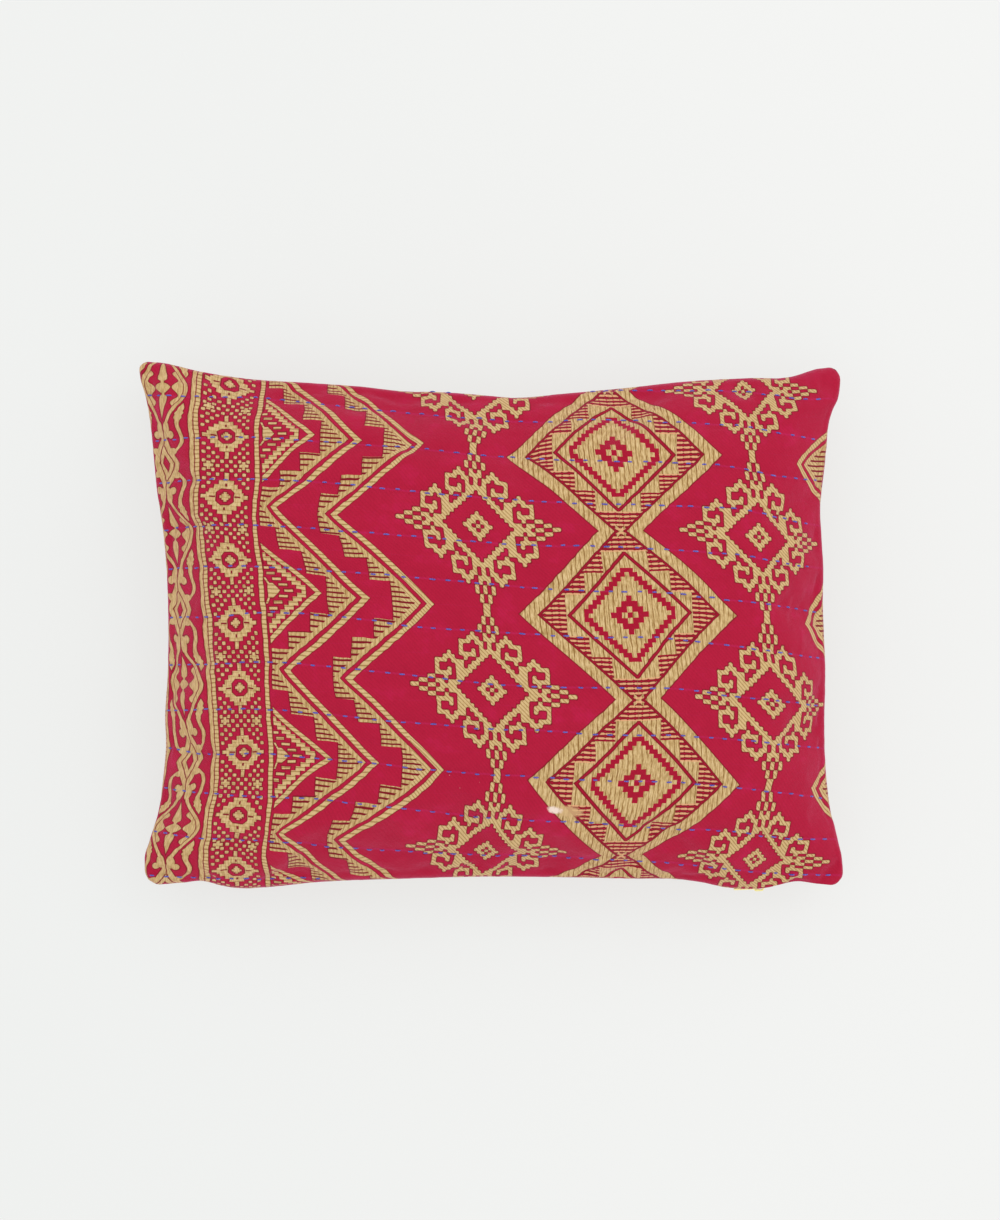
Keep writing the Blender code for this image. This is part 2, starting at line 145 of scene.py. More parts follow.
# Where lines of the print lie in the photograph.
# Columns: cells across the flat cloth from the beaded line, cells down it, pixel x, pixel y
PRINT_PLACES = (
    # Tips, valleys, stars and diamonds over the middle of the face
    (0.0, 19, 256.5, 436), (24.4, 19, 362, 440), (39.3, 19, 424, 443), (51.7, 19, 473, 448),
    (84.3, 19, 614, 453), (116.9, 19, 752, 456), (129.3, 19, 797, 464),
    (0.0, 35.4, 255, 504), (6.35, 35.4, 276, 507), (20.6, 35.9, 337, 514),
    (51.7, 37.4, 478, 526), (84.3, 37.6, 621, 532), (116.9, 37.4, 759, 537),
    (0.0, 57, 261.5, 592), (24.4, 57, 370, 598), (39.3, 57, 434, 604), (51.7, 57, 487, 610),
    (84.3, 57, 630, 615), (116.9, 57, 767, 617), (129.3, 57, 805, 624),
    (0.0, 73.4, 267, 667), (6.35, 73.4, 290, 670), (20.6, 73.9, 352, 678),
    (51.7, 75.4, 492, 690), (84.3, 75.6, 639, 701), (116.9, 75.4, 772, 704),
    (0.0, 95, 271, 757), (24.4, 95, 379, 763), (39.3, 95, 444, 770), (51.7, 95, 497, 775),
    (84.3, 95, 637, 783), (116.9, 95, 769, 785), (129.3, 95, 811, 788),
    (0.0, 111.4, 267, 832), (6.35, 111.4, 283, 834), (20.6, 111.9, 345, 840),
    (51.7, 29.5, 475.9, 491.9), (51.7, 45.9, 482.3, 561.4), (32.9, 37.4, 396.1, 518.8),
    (70.5, 37.4, 561.1, 529.9),
    # Corners of the hatched blocks in the zigzags
    (5.6, 27.4, 280, 470), (5.6, 31.35, 279.5, 487.5), (10.5, 23.4, 300, 452),
    (15.0, 19.3, 320.5, 438), (16.0, 31.6, 321.5, 493), (20.1, 27.7, 341.5, 475),
    (25.0, 23.5, 363, 456.5), (29.5, 19, 384, 441.5),
    (10.5, 51.75, 306.9, 573.1), (20.1, 46.3, 345.6, 557.3), (25.0, 51.9, 370, 579.4),
    (15.0, 57, 327, 596), (29.5, 57, 392.5, 600.5), (5.6, 65.4, 288.1, 630.6),
    (5.6, 69.35, 289.4, 649.2), (10.5, 61.4, 310.6, 611.9), (25.0, 61.5, 374.4, 618.1),
    (20.1, 65.7, 352.5, 637.1), (16.0, 69.6, 334, 656.9), (16.0, 78.8, 336.5, 698.8),
    (10.5, 89.75, 317.1, 739.6), (20.1, 84.3, 358.8, 721.9), (25.0, 89.9, 381.9, 746),
    (15.0, 95, 338.4, 762), (29.5, 95, 403.1, 767), (5.6, 103.4, 293.1, 795.6),
    (5.6, 107.35, 291.9, 813.8), (10.5, 99.4, 316.3, 776.9), (25.0, 99.5, 380.6, 784.1),
    (20.1, 103.7, 356.3, 801.9), (16.0, 107.6, 333.5, 820),
    # Along the upper edge
    (0.0, 2.2, 263.6, 388), (0.0, 6.8, 261.3, 399.4), (5.6, 2.2, 283.8, 388.7),
    (5.6, 7.75, 283.8, 403), (10.5, 13.75, 303, 419.4), (16.0, 2.8, 328.1, 394.4),
    (20.1, 8.3, 345.6, 408.8), (25.0, 13.9, 365, 425.6), (51.7, 7.9, 475, 414.4),
    (47.8, 13.1, 458.8, 426.2), (55.6, 13.1, 493.8, 432.5), (84.3, -0.6, 607.5, 391.5),
    (84.3, 4.3, 611.3, 407.8), (79.0, 9.3, 589, 418.6), (74.4, 14.3, 571.6, 433.2),
    (89.6, 9.3, 632, 418.6), (94.2, 14.3, 655.3, 434.2), (98.9, 14.3, 677, 434),
    (98.8, 19, 676.3, 455.2),
    (69.7, 14.3, 552.5, 434.4), (98.1, -0.6, 665, 391.7), (107.1, 8.1, 708.8, 414.4),
    (108.2, -0.6, 713.1, 390.4), (116.9, -0.6, 743.1, 391.3), (116.9, 7.9, 748.1, 416.3),
    (125.6, -0.6, 774.4, 391.3), (135.7, -0.6, 816.9, 393.8), (126.7, 8.1, 787.5, 418.5),
    # Along the right edge
    (132.3, 19, 803.5, 464.6), (137.8, 10.1, 828, 431), (138.5, 28.1, 820.4, 505),
    (125.6, 37.4, 789, 542), (135.7, 37.4, 817.2, 546.3), (126.7, 29.2, 791, 509),
    (126.7, 46.1, 796, 575), (138.2, 47.7, 823, 587), (136.5, 64.1, 823.6, 655.6),
    (135.7, 75.4, 822.4, 707), (120.3, 75.4, 786, 706), (125.6, 75.4, 802.5, 706),
    (126.7, 67.2, 804, 673), (126.7, 84.1, 805.6, 740.6), (135.6, 88.4, 826, 760),
    (137.5, 103.1, 833, 821), (126.7, 105.2, 798, 834),
    # Along the lower edge
    (0.0, 118.6, 263.8, 857.5), (0.0, 125.0, 267.5, 874), (5.6, 116.2, 288.1, 851.9),
    (5.6, 121.75, 288.1, 868.1), (10.5, 127.75, 312.5, 878.5), (16.0, 116.8, 330.6, 858.1),
    (20.1, 122.3, 350.6, 874.4), (32.9, 113.4, 405.6, 847.5), (42.9, 113.4, 453.8, 849.8),
    (51.7, 113.4, 486.2, 851), (60.4, 113.4, 519.4, 851.3), (70.5, 113.4, 566.3, 852.5),
    (51.7, 121.9, 482.5, 871.9), (41.9, 122.1, 443.1, 871.9), (61.5, 122.1, 523.8, 870.6),
    (84.3, 113.4, 621.4, 855.4), (84.3, 118.3, 621, 867.4), (98.1, 113.4, 677.9, 856.1),
    (108.2, 113.4, 724.3, 858.6), (116.9, 113.4, 754.7, 859.3), (107.1, 122.1, 709.3, 878.6),
    (126.7, 122.1, 787.9, 882.1), (116.9, 121.9, 747.9, 883.6), (125.6, 113.4, 785, 860.7),
    (135.7, 113.4, 829, 863.8),
    # The narrow band, the double line and the vine at the left edge
    (-6.8, 4.3, 230, 384.3), (-6.8, 19.2, 226.8, 436.3), (-6.8, 34.1, 225, 496.8),
    (-6.8, 49.0, 230.3, 560), (-6.8, 63.9, 235.8, 622.8), (-6.8, 78.8, 240, 687.2),
    (-6.8, 93.8, 244.3, 752.7), (-6.8, 108.6, 238.3, 815), (-6.8, 123.5, 236.5, 870),
    (-13.35, 6.0, 196.5, 380), (-13.35, 10.9, 195.1, 400), (-13.35, 20.8, 194.4, 440),
    (-13.35, 30.2, 196.2, 480), (-13.35, 42.0, 199.4, 530), (-13.35, 48.9, 202.3, 560),
    (-13.35, 55.8, 204.2, 590), (-13.35, 62.7, 207.8, 620), (-13.35, 67.2, 208.3, 640),
    (-13.35, 71.9, 210.4, 660), (-13.35, 76.5, 211.0, 680), (-13.35, 81.2, 211.9, 700),
    (-13.35, 86.0, 213.4, 720), (-13.35, 95.6, 215.4, 760), (-13.35, 100.4, 214.6, 780),
    (-13.35, 105.2, 211.5, 800), (-13.35, 110.1, 207.6, 820), (-13.35, 115.0, 205.2, 840),
    (-13.35, 120.1, 203.3, 860),
    (-21.15, 8.9, 162.5, 387.5), (-15.75, 8.9, 185.8, 388),
    (-26.55, 8.9, 143.5, 388), (-21.15, 26.05, 166.7, 463.7), (-21.15, 43.2, 175.7, 533.7),
    (-15.75, 43.2, 191.7, 535), (-21.15, 60.35, 180, 609.5), (-21.15, 77.5, 183.6, 684.4),
    (-15.75, 77.5, 201.4, 685), (-26.55, 77.5, 172.7, 684.5), (-21.15, 94.65, 190, 762),
    (-21.15, 111.8, 172.7, 828.3), (-15.75, 111.8, 198.3, 827), (-26.55, 111.8, 155, 826),
)

# Rows of running stitch in the photograph, from the top. Columns: pixel x, pixel y
STITCH_ROWS = (
    ((400, 391), (440, 392.5), (470, 395)),
    ((585, 392), (636, 390.6), (662, 391.2), (723, 391), (748, 392), (773, 395), (797, 398.8),
     (830, 398.5)),
    ((150, 395), (200, 397), (260, 398), (300, 402), (360, 408), (400, 412), (480, 419),
     (540, 422), (600, 420), (680, 423), (740, 426), (780, 433), (815, 439)),
    ((150, 441), (200, 438), (250, 437), (300, 440), (360, 444), (425, 449), (480, 455),
     (540, 459), (600, 461), (680, 463), (740, 468), (770, 475), (815, 480)),
    ((150, 484), (200, 480), (250, 479), (300, 481), (345, 484), (400, 490), (480, 497),
     (550, 502), (600, 504), (680, 506), (745, 510), (780, 518), (815, 525)),
    ((165, 530), (190, 527), (230, 525), (280, 526), (330, 530), (400, 535), (480, 542),
     (550, 546), (600, 546), (670, 550), (740, 555), (790, 564), (820, 568)),
    ((170, 569), (190, 568), (240, 566), (280, 568), (350, 572), (400, 576), (480, 583),
     (550, 589), (600, 591), (670, 593), (720, 599), (760, 603), (810, 611)),
    ((180, 617), (210, 617), (270, 612), (320, 615), (360, 619), (420, 627), (480, 631),
     (560, 636), (600, 638), (650, 637), (710, 643), (770, 651), (810, 657)),
    ((175, 665), (215, 664), (260, 662), (310, 665), (350, 669), (420, 676), (480, 683),
     (550, 687), (620, 688), (690, 690), (740, 697), (760, 699), (815, 705)),
    ((190, 710), (245, 709), (305, 712), (370, 719), (430, 724), (480, 728), (550, 731),
     (610, 735), (680, 736), (730, 739), (780, 744), (820, 748)),
    ((170, 748), (200, 753), (265, 754), (315, 758), (370, 763), (420, 769), (480, 774),
     (540, 777), (610, 781), (690, 783), (730, 787), (800, 795), (825, 798)),
    ((165, 788), (205, 793), (260, 797), (320, 799), (365, 805), (415, 810), (480, 817),
     (540, 821), (600, 823), (670, 829), (730, 831), (780, 838), (830, 839)),
    ((160, 832), (190, 837), (245, 840), (300, 843), (350, 848), (400, 851), (480, 855),
     (545, 856), (600, 859), (660, 862), (710, 867), (770, 873), (830, 875)),
    ((145, 876), (190, 877), (240, 879), (290, 878), (340, 879)),
)
# Rows that run off the cushion's edge part way keep to their own ends
ROWS_CUT_SHORT = (0, 1, 13)
# Other rows are followed between these pixels, as far as the cushion reaches
ROW_REACH = (138.0, 848.0)
WALK_STEP = 0.75


def read_table(table, at):
    """The smooth curve through a table's points, with the slopes of a cubic through neighbours."""
    x, y = np.array(table, float).T
    slope = np.gradient(y, x)
    held = np.clip(at, x[0], x[-1])
    i = np.clip(np.searchsorted(x, held) - 1, 0, len(x) - 2)
    gap = x[i + 1] - x[i]
    u = (held - x[i]) / gap
    curve = (
        (2 * u**3 - 3 * u**2 + 1) * y[i]
        + (u**3 - 2 * u**2 + u) * gap * slope[i]
        + (3 * u**2 - 2 * u**3) * y[i + 1]
        + (u**3 - u**2) * gap * slope[i + 1]
    )
    return curve


def read_row(table, at):
    """A row's curve, carried on straight past its ends."""
    x, y = np.array(table, float).T
    before = np.clip(x[0] - at, 0, None) * (y[1] - y[0]) / (x[1] - x[0])
    beyond = np.clip(at - x[-1], 0, None) * (y[-1] - y[-2]) / (x[-1] - x[-2])
    return read_table(table, at) - before + beyond


def side(start, end, table, inward, share):
    """Plan points along one side, from the middle of one corner's arc to that of the next."""
    a, b = np.array(CORNERS[start]), np.array(CORNERS[end])
    length = np.linalg.norm(b - a)
    along = (b - a) / length
    first, last = CORNER_RADIUS[start], CORNER_RADIUS[end]
    arc_middle = 1 - np.sqrt(0.5)
    distance = arc_middle * first + share * (length - arc_middle * (first + last))
    drawn = read_table(table, distance / length)
    for radius, gone in ((first, distance), (last, length - distance)):
        left = np.clip(radius - gone, 0, radius)
        drawn = drawn + radius - np.sqrt(radius**2 - left**2)
    return a + np.outer(distance, along) + np.outer(drawn, inward)


def places(count):
    """Places of a mesh's columns or lines, from -1 to 1, crowded towards the ends."""
    even = np.linspace(-1, 1, count + 1)
    return CROWDING * np.sin(even * np.pi / 2) + (1 - CROWDING) * even


def row_course(along, line):
    """Where the line that crosses the middle at this place lies further along the face."""
    fall = ROW_SLANT * along + (ROW_BOW + ROW_FAN * line) * along**2
    return line - fall * (1 - line**ROW_HOLD)


def plan(along, across):
    """Plan points for places on the face from -1 to 1: the patch between the four sides."""
    u, v = ((along + 1) / 2)[..., None], ((across + 1) / 2)[..., None]
    flat_u, flat_v = u.ravel(), 1 - v.ravel()
    shape = (*along.shape, 2)
    lower = side("lower_left", "lower_right", LOWER_SIDE, (0, 1), flat_u).reshape(shape)
    upper = side("upper_left", "upper_right", UPPER_SIDE, (0, -1), flat_u).reshape(shape)
    left = side("upper_left", "lower_left", LEFT_SIDE, (1, 0), flat_v).reshape(shape)
    right = side("upper_right", "lower_right", RIGHT_SIDE, (-1, 0), flat_v).reshape(shape)
    ends = side("lower_left", "lower_right", LOWER_SIDE, (0, 1), np.array([0.0, 1.0]))
    tops = side("upper_left", "upper_right", UPPER_SIDE, (0, -1), np.array([0.0, 1.0]))
    ruled = (1 - v) * lower + v * upper + (1 - u) * left + u * right
    corners = (1 - v) * ((1 - u) * ends[0] + u * ends[1]) + v * ((1 - u) * tops[0] + u * tops[1])
    return ruled - corners


def between_corners(along, across, at_middle, at_corner):
    """A value that eases from at_middle at mid side to each corner's own value."""
    ends = {
        (-1, 1): at_corner["upper_left"],
        (1, 1): at_corner["upper_right"],
        (1, -1): at_corner["lower_right"],
        (-1, -1): at_corner["lower_left"],
    }
    total = np.full(np.shape(along), float(at_middle))
    for (sx, sy), value in ends.items():
        near = np.clip((1 + sx * along) / 2, 0, 1) ** 3 * np.clip((1 + sy * across) / 2, 0, 1) ** 3
        total = total + near * (value - at_middle)
    return total


def seam_height(along, across):
    return between_corners(along, across, SEAM_HEIGHT, CORNER_HEIGHT)


def roll_height(along, across):
    return between_corners(
        along, across, ROLL_HEIGHT, dict.fromkeys(CORNERS, ROLL_HEIGHT_AT_CORNER)
    )


def crown(along, across):
    rise_along = 1 - np.abs(along) ** CROWN_POWER_ALONG
    rise_across = 1 - np.abs(across) ** CROWN_POWER_ACROSS
    return np.clip(rise_along * rise_across, 0, 1) ** CROWN_ROUNDNESS


def filling(along, across):
    """Soft hills and hollows of the filling, gone at the seam."""
    total = 0
    for x, y, radius, rise in FILLING:
        total = total + rise * np.exp(-((along - x) ** 2 + (across - y) ** 2) / radius**2)
    return total * np.clip(crown(along, across) * 2, 0, 1)


def corner_creases(along, across):
    """Soft troughs across each corner's ear, where the filling ends."""
    total = 0
    for sx, sy, place, half_width, depth in CORNER_CREASES:
        inward = (sx * along + sy * across) / 2
        sideways = (sx * along - sy * across) / 2
        across_it = (inward - place) / half_width
        along_it = sideways / CORNER_CREASE_LENGTH
        total = total - depth * np.exp(-(across_it**2) - along_it**2)
    return total


def front_height(along, across, fill):
    base = seam_height(along, across) + roll_height(along, across)
    middle = (CROWN_TOP - SEAM_HEIGHT - ROLL_HEIGHT) * fill * crown(along, across)
    return base + middle + filling(along, across) + corner_creases(along, across)


def back_height(along, across, fill):
    base = seam_height(along, across) - roll_height(along, across)
    hung = base - (BACK_DEPTH - ROLL_HEIGHT) * fill * crown(along, across)
    eased = np.clip(hung + FLOOR_EASE, 0, None) ** 2 / (4 * FLOOR_EASE)
    return np.where(hung > FLOOR_EASE, hung, eased)


def rim_loop(grid):
    """The outer ring of a grid of rows, once round, counter-clockwise from the lower left."""
    return np.concatenate([grid[0, :-1], grid[:-1, -1], grid[-1, :0:-1], grid[:0:-1, 0]])


def inward_normals(ring):
    """Unit normals of a closed plan ring, pointing in."""
    tangent = np.roll(ring, -1, 0) - np.roll(ring, 1, 0)
    tangent /= np.linalg.norm(tangent, axis=1, keepdims=True)
    return np.stack([-tangent[:, 1], tangent[:, 0]], 1)


def zip_share(ring):
    """1 on the lower seam where the zip is, easing to 0 past its ends and off that side."""
    x, y = ring.T
    rise = np.clip((x - (ZIP_START - ZIP_FADE)) / ZIP_FADE, 0, 1)
    end = SLIDER_START + SLIDER_LENGTH + ZIP_END_ROOM
    fall = np.clip((end + ZIP_FADE - x) / ZIP_FADE, 0, 1)
    share = np.minimum(rise, fall) * (y < 0)
    return share**2 * (3 - 2 * share)


def cushion_grids(columns, lines, fill):
    """The front and back faces as grids of points, with their places from -1 to 1."""
    along, line = np.meshgrid(places(columns), places(lines))
    across = row_course(along, line)
    flat = plan(along, across)
    front = np.dstack([flat, front_height(along, across, fill)])
    back = np.dstack([flat, back_height(along, across, fill)])
    return along, across, front, back


def seam_rings(along, across, grid, sign):
    """Rings that turn from a face's widest line in to the seam, for the front or the back."""
    loop = rim_loop(grid)
    inward = inward_normals(loop[:, :2])
    height = rim_loop(seam_height(along, across)[:, :, None])[:, 0]
    zipped = zip_share(loop[:, :2])
    inset = SEAM_INSET + (ZIP_INSET - SEAM_INSET) * zipped
    half = SEAM_HALF_WIDTH + (ZIP_HALF_WIDTH - SEAM_HALF_WIDTH) * zipped
    rings = []
    for step in ROLL_TURNS:
        turn = step * np.pi / 2
        flat = loop[:, :2] + inward * (inset * (1 - np.cos(turn)))[:, None]
        level = loop[:, 2] + (height + sign * half - loop[:, 2]) * np.sin(turn)
        rings.append(np.column_stack([flat, level]))
    return rings, inward


def grid_faces(rows, columns, first, flip):
    """Four-cornered faces of a grid whose points are numbered from first, row by row."""
    index = first + np.arange(rows * columns).reshape(rows, columns)
    a, b, c, d = index[:-1, :-1], index[:-1, 1:], index[1:, 1:], index[1:, :-1]
    corners = (a, d, c, b) if flip else (a, b, c, d)
    return np.stack([part.ravel() for part in corners], 1)


def ladder_faces(rings):
    """Faces between rings of point numbers, each ring the same length."""
    faces = []
    for upper, lower in zip(rings, rings[1:]):
        faces.append(np.stack([upper, lower, np.roll(lower, -1), np.roll(upper, -1)], 1))
    return np.concatenate(faces)


class Cushion:
    """The closed form: two grids and the rings between them, as numbered points and faces."""

    def __init__(self, columns, lines, fill):
        self.along, self.across, self.front, self.back = cushion_grids(columns, lines, fill)
        self.columns, self.lines = columns + 1, lines + 1
        self.count = self.columns * self.lines

    def close(self):
        """Points and faces of the whole form, from the grids as they are now."""
        front_rings, self.inward = seam_rings(self.along, self.across, self.front, 1)
        back_rings, _ = seam_rings(self.along, self.across, self.back, -1)
        self.rings = {"front": front_rings, "back": back_rings}
        points = [self.front.reshape(-1, 3), self.back.reshape(-1, 3), *front_rings, *back_rings]
        number = np.arange(self.count).reshape(self.lines, self.columns)
        loop = rim_loop(number[:, :, None])[:, 0]
        size = len(loop)
        start = 2 * self.count
        ring_numbers = [start + size * i + np.arange(size) for i in range(2 * len(ROLL_TURNS))]
        turns = len(ROLL_TURNS)
        ladder = [loop, *ring_numbers[:turns], *ring_numbers[turns:][::-1], loop + self.count]
        front = grid_faces(self.lines, self.columns, 0, False)
        back = grid_faces(self.lines, self.columns, self.count, True)
        self.loop = loop
        self.points = np.concatenate(points)
        self.faces = np.concatenate([front, back, ladder_faces(ladder)])
        self.pinned = np.concatenate([loop, loop + self.count, *ring_numbers])
        return self


def make_mesh(name, points, faces):
    """A mesh in metres from points in the tables' millimetres."""
    mesh = bpy.data.meshes.new(name)
    mesh.from_pydata(((points + SHIFT) * MM).tolist(), [], faces)
    mesh.update()
    return mesh


def make_object(name, data):
    obj = bpy.data.objects.new(name, data)
    bpy.context.scene.collection.objects.link(obj)
    return obj


def photo_place(points):
    """Where points lie in the photograph, in pixels."""
    nearer = CAMERA_DISTANCE / (CAMERA_DISTANCE - (points[..., 2] - SEAM_HEIGHT))
    x = PHOTO_CENTRE[0] + (points[..., 0] - CAMERA_PLACE[0]) * nearer / PHOTO_MM_PER_PIXEL
    y = PHOTO_CENTRE[1] - (points[..., 1] - CAMERA_PLACE[1]) * nearer / PHOTO_MM_PER_PIXEL
    return x, y


# The cloth simulation

SIMULATION_FRAMES = 20
# The coarse form starts a little less filled, and the pressure swells it
SIMULATION_FILL = 0.975
SIMULATION_PRESSURE = 4.0
# The cover is cut a little larger than the form, so that it puckers along the seam
SIMULATION_SPARE_CLOTH = 0.012
# No point of the cover ends further than this from the form
MOST_MOVED = 5.0


def simulate(coarse):
    """Blows the coarse cover up for a while, held at its seam, and gives each point's movement."""
    scene = bpy.context.scene
    mesh = make_mesh("cover_in_simulation", coarse.points, coarse.faces.tolist())
    cover = make_object("cover_in_simulation", mesh)
    held = cover.vertex_groups.new(name="held_at_seam")
    held.add([int(i) for i in coarse.pinned], 1.0, "REPLACE")
    cloth = cover.modifiers.new("cover", "CLOTH")
    settings = cloth.settings
    settings.quality = 6
    settings.mass = 0.25
    settings.tension_stiffness = 25
    settings.compression_stiffness = 25
    settings.shear_stiffness = 10
    settings.bending_stiffness = 1.5
    settings.air_damping = 2
    settings.use_pressure = True
    settings.uniform_pressure_force = SIMULATION_PRESSURE
    settings.vertex_group_mass = "held_at_seam"
    settings.shrink_min = -SIMULATION_SPARE_CLOTH
    settings.effector_weights.gravity = 0
    cloth.point_cache.frame_start = 1
    cloth.point_cache.frame_end = SIMULATION_FRAMES
    for number in range(1, SIMULATION_FRAMES + 1):
        scene.frame_set(number)
    graph = bpy.context.evaluated_depsgraph_get()
    filled = cover.evaluated_get(graph).to_mesh()
    moved = np.empty(len(filled.vertices) * 3)
    filled.vertices.foreach_get("co", moved)
    moved = moved.reshape(-1, 3) / MM - SHIFT - coarse.points
    bpy.data.objects.remove(cover)
    bpy.data.meshes.remove(mesh)
    scene.frame_set(1)
    length = np.linalg.norm(moved, axis=1, keepdims=True)
    return moved * np.minimum(1, MOST_MOVED / np.maximum(length, 1e-9))


def finer(values, size, axis):
    """Values of a grid at more places along one axis, by a cubic through their neighbours."""
    at = np.linspace(0, values.shape[axis] - 1, size)
    i = np.clip(np.floor(at).astype(int), 0, values.shape[axis] - 2)
    u = (at - i).reshape([-1 if a == axis else 1 for a in range(values.ndim)])

    def take(step):
        return np.take(values, np.clip(i + step, 0, values.shape[axis] - 1), axis)

    before, start, end, after = take(-1), take(0), take(1), take(2)
    return 0.5 * (
        2 * start
        + (end - before) * u
        + (2 * before - 5 * start + 4 * end - after) * u**2
        + (3 * start - before - 3 * end + after) * u**3
    )


def keep_above_floor(cushion):
    cushion.back[..., 2] = np.clip(cushion.back[..., 2], 0, None)


def fill_cover(cushion):
    """Adds the simulated cover's shape to the fine grids."""
    coarse = Cushion(COARSE_COLUMNS, COARSE_LINES, SIMULATION_FILL).close()
    moved = simulate(coarse)
    unswollen = Cushion(COARSE_COLUMNS, COARSE_LINES, 1.0).close()
    change = coarse.points + moved - unswollen.points
    for grid, first in ((cushion.front, 0), (cushion.back, coarse.count)):
        part = change[first:first + coarse.count].reshape(coarse.lines, coarse.columns, 3)
        grid += finer(finer(part, cushion.lines, 0), cushion.columns, 1)
    keep_above_floor(cushion)


def grid_normals(grid, sign):
    """Unit normals of a grid of points, which point out of the cushion."""
    down, along = np.gradient(grid, axis=0), np.gradient(grid, axis=1)
    normal = np.cross(along, down) * sign
    return normal / np.maximum(np.linalg.norm(normal, axis=-1, keepdims=True), 1e-9)


def arc_lengths(grid):
    """Millimetres along the cloth from its middle column and from its middle line."""
    steps = np.linalg.norm(np.diff(grid, axis=1), axis=-1)
    across = np.concatenate([np.zeros((grid.shape[0], 1)), np.cumsum(steps, 1)], 1)
    across -= across[:, grid.shape[1] // 2][:, None]
    steps = np.linalg.norm(np.diff(grid, axis=0), axis=-1)
    up = np.concatenate([np.zeros((1, grid.shape[1])), np.cumsum(steps, 0)], 0)
    up -= up[grid.shape[0] // 2][None, :]
    return across, up


# The running stitches and what they do to the cover

STITCH_PITCH = 8.3
STITCH_LENGTH = 3.6
STITCH_SEED = 5
# How far stitches stray: the least and greatest share of their length, then millimetres along
# the row, pixels aside, and pixels that one end lies lower than the other
STITCH_SHARES = (0.8, 1.2)
STRAY_ALONG = 0.45
STRAY_ASIDE = 0.35
STRAY_TILT = 0.25
# A row stops this far short of its end
ROW_END_ROOM = 4
THREAD_RADIUS = 0.40
THREAD_SIDES = 6
THREAD_FLATNESS = 1.15
# A stitch from end to end. Columns: share of the thread's radius, height above the cover
THREAD_PROFILE = (
    (0.45, -0.40), (0.92, 0.10), (1.0, 0.24), (1.0, 0.24), (0.92, 0.10), (0.45, -0.40),
)
CHANNEL_DEPTH = 1.0
CHANNEL_HALF_WIDTH = 3.6
# The pull of single stitches, and the gathers that cross the rows beside them
CHANNEL_RIPPLE = 0.25
RIPPLE_HALF_WIDTH = 2.2
GATHER_HEIGHT = 0.10
GATHER_LEAN = 0.8
GATHER_REACH = 7.0
SWELL_BETWEEN_ROWS = 0.35
# Channels fade out where the crown falls to the seam
CHANNEL_FADE = 2.2
PUCKER_SEED = 11
PUCKER_LENGTHS = (7.0, 9.5, 13.0, 19.0)
PUCKER_HEIGHT = 0.16
PUCKER_REACH = 7.5
# Puckers come and go along the seam in stretches of these lengths, divided by a full turn
PUCKER_STRETCHES = (21, 37)
# Nearer to the seam than this they flatten, down to a share of their height
PUCKER_EASE = 1.5
PUCKER_LEAST_SHARE = 0.25


def row_distances(x, y):
    """For places in the photograph: millimetres to the nearest row, and that row's number."""
    gaps = []
    for number, row in enumerate(STITCH_ROWS):
        gap = (y - read_row(row, x)) * PHOTO_MM_PER_PIXEL
        if number in ROWS_CUT_SHORT:
            outside = np.maximum(row[0][0] - x, x - row[-1][0]).clip(0, None)
            gap = np.where(outside > 0, gap + np.sign(gap) * outside, gap)
        gaps.append(gap)
    gaps = np.array(gaps)
    nearest = np.argmin(np.abs(gaps), axis=0)
    return np.take_along_axis(gaps, nearest[None], 0)[0], nearest


def surface(points, faces):
    """The cushion's surface in millimetres, to find places on it."""
    return BVHTree.FromPolygons([Vector(p) for p in points], faces.tolist())


# The back is looked for from this far below the floor, straight up
BELOW_FLOOR = -50.0


def point_on(tree, x, y, front):
    """The point and normal of the surface that shows at a pixel, or below it on the back."""
    flat = Vector((
        CAMERA_PLACE[0] + (x - PHOTO_CENTRE[0]) * PHOTO_MM_PER_PIXEL,
        CAMERA_PLACE[1] - (y - PHOTO_CENTRE[1]) * PHOTO_MM_PER_PIXEL,
        SEAM_HEIGHT,
    ))
    if front:
        eye = Vector((*CAMERA_PLACE, SEAM_HEIGHT + CAMERA_DISTANCE))
        found = tree.ray_cast(eye, (flat - eye).normalized())
    else:
        found = tree.ray_cast(Vector((flat.x, flat.y, BELOW_FLOOR)), Vector((0, 0, 1)))
    return (found[0], found[1]) if found[0] is not None else (None, None)


def walk_row(tree, number, front):
    """Pixels along a row with the length of thread to each, where the row is on the cushion."""
    row = STITCH_ROWS[number]
    start, end = (row[0][0], row[-1][0]) if number in ROWS_CUT_SHORT else ROW_REACH
    pixels, lengths, last = [], [], None
    for x in np.arange(start, end, WALK_STEP):
        place, _ = point_on(tree, x, float(read_row(row, x)), front)
        if place is None:
            if last is not None:
                break
            continue
        lengths.append(lengths[-1] + (place - last).length if lengths else 0.0)
        pixels.append(x)
        last = place
    return np.array(pixels), np.array(lengths)


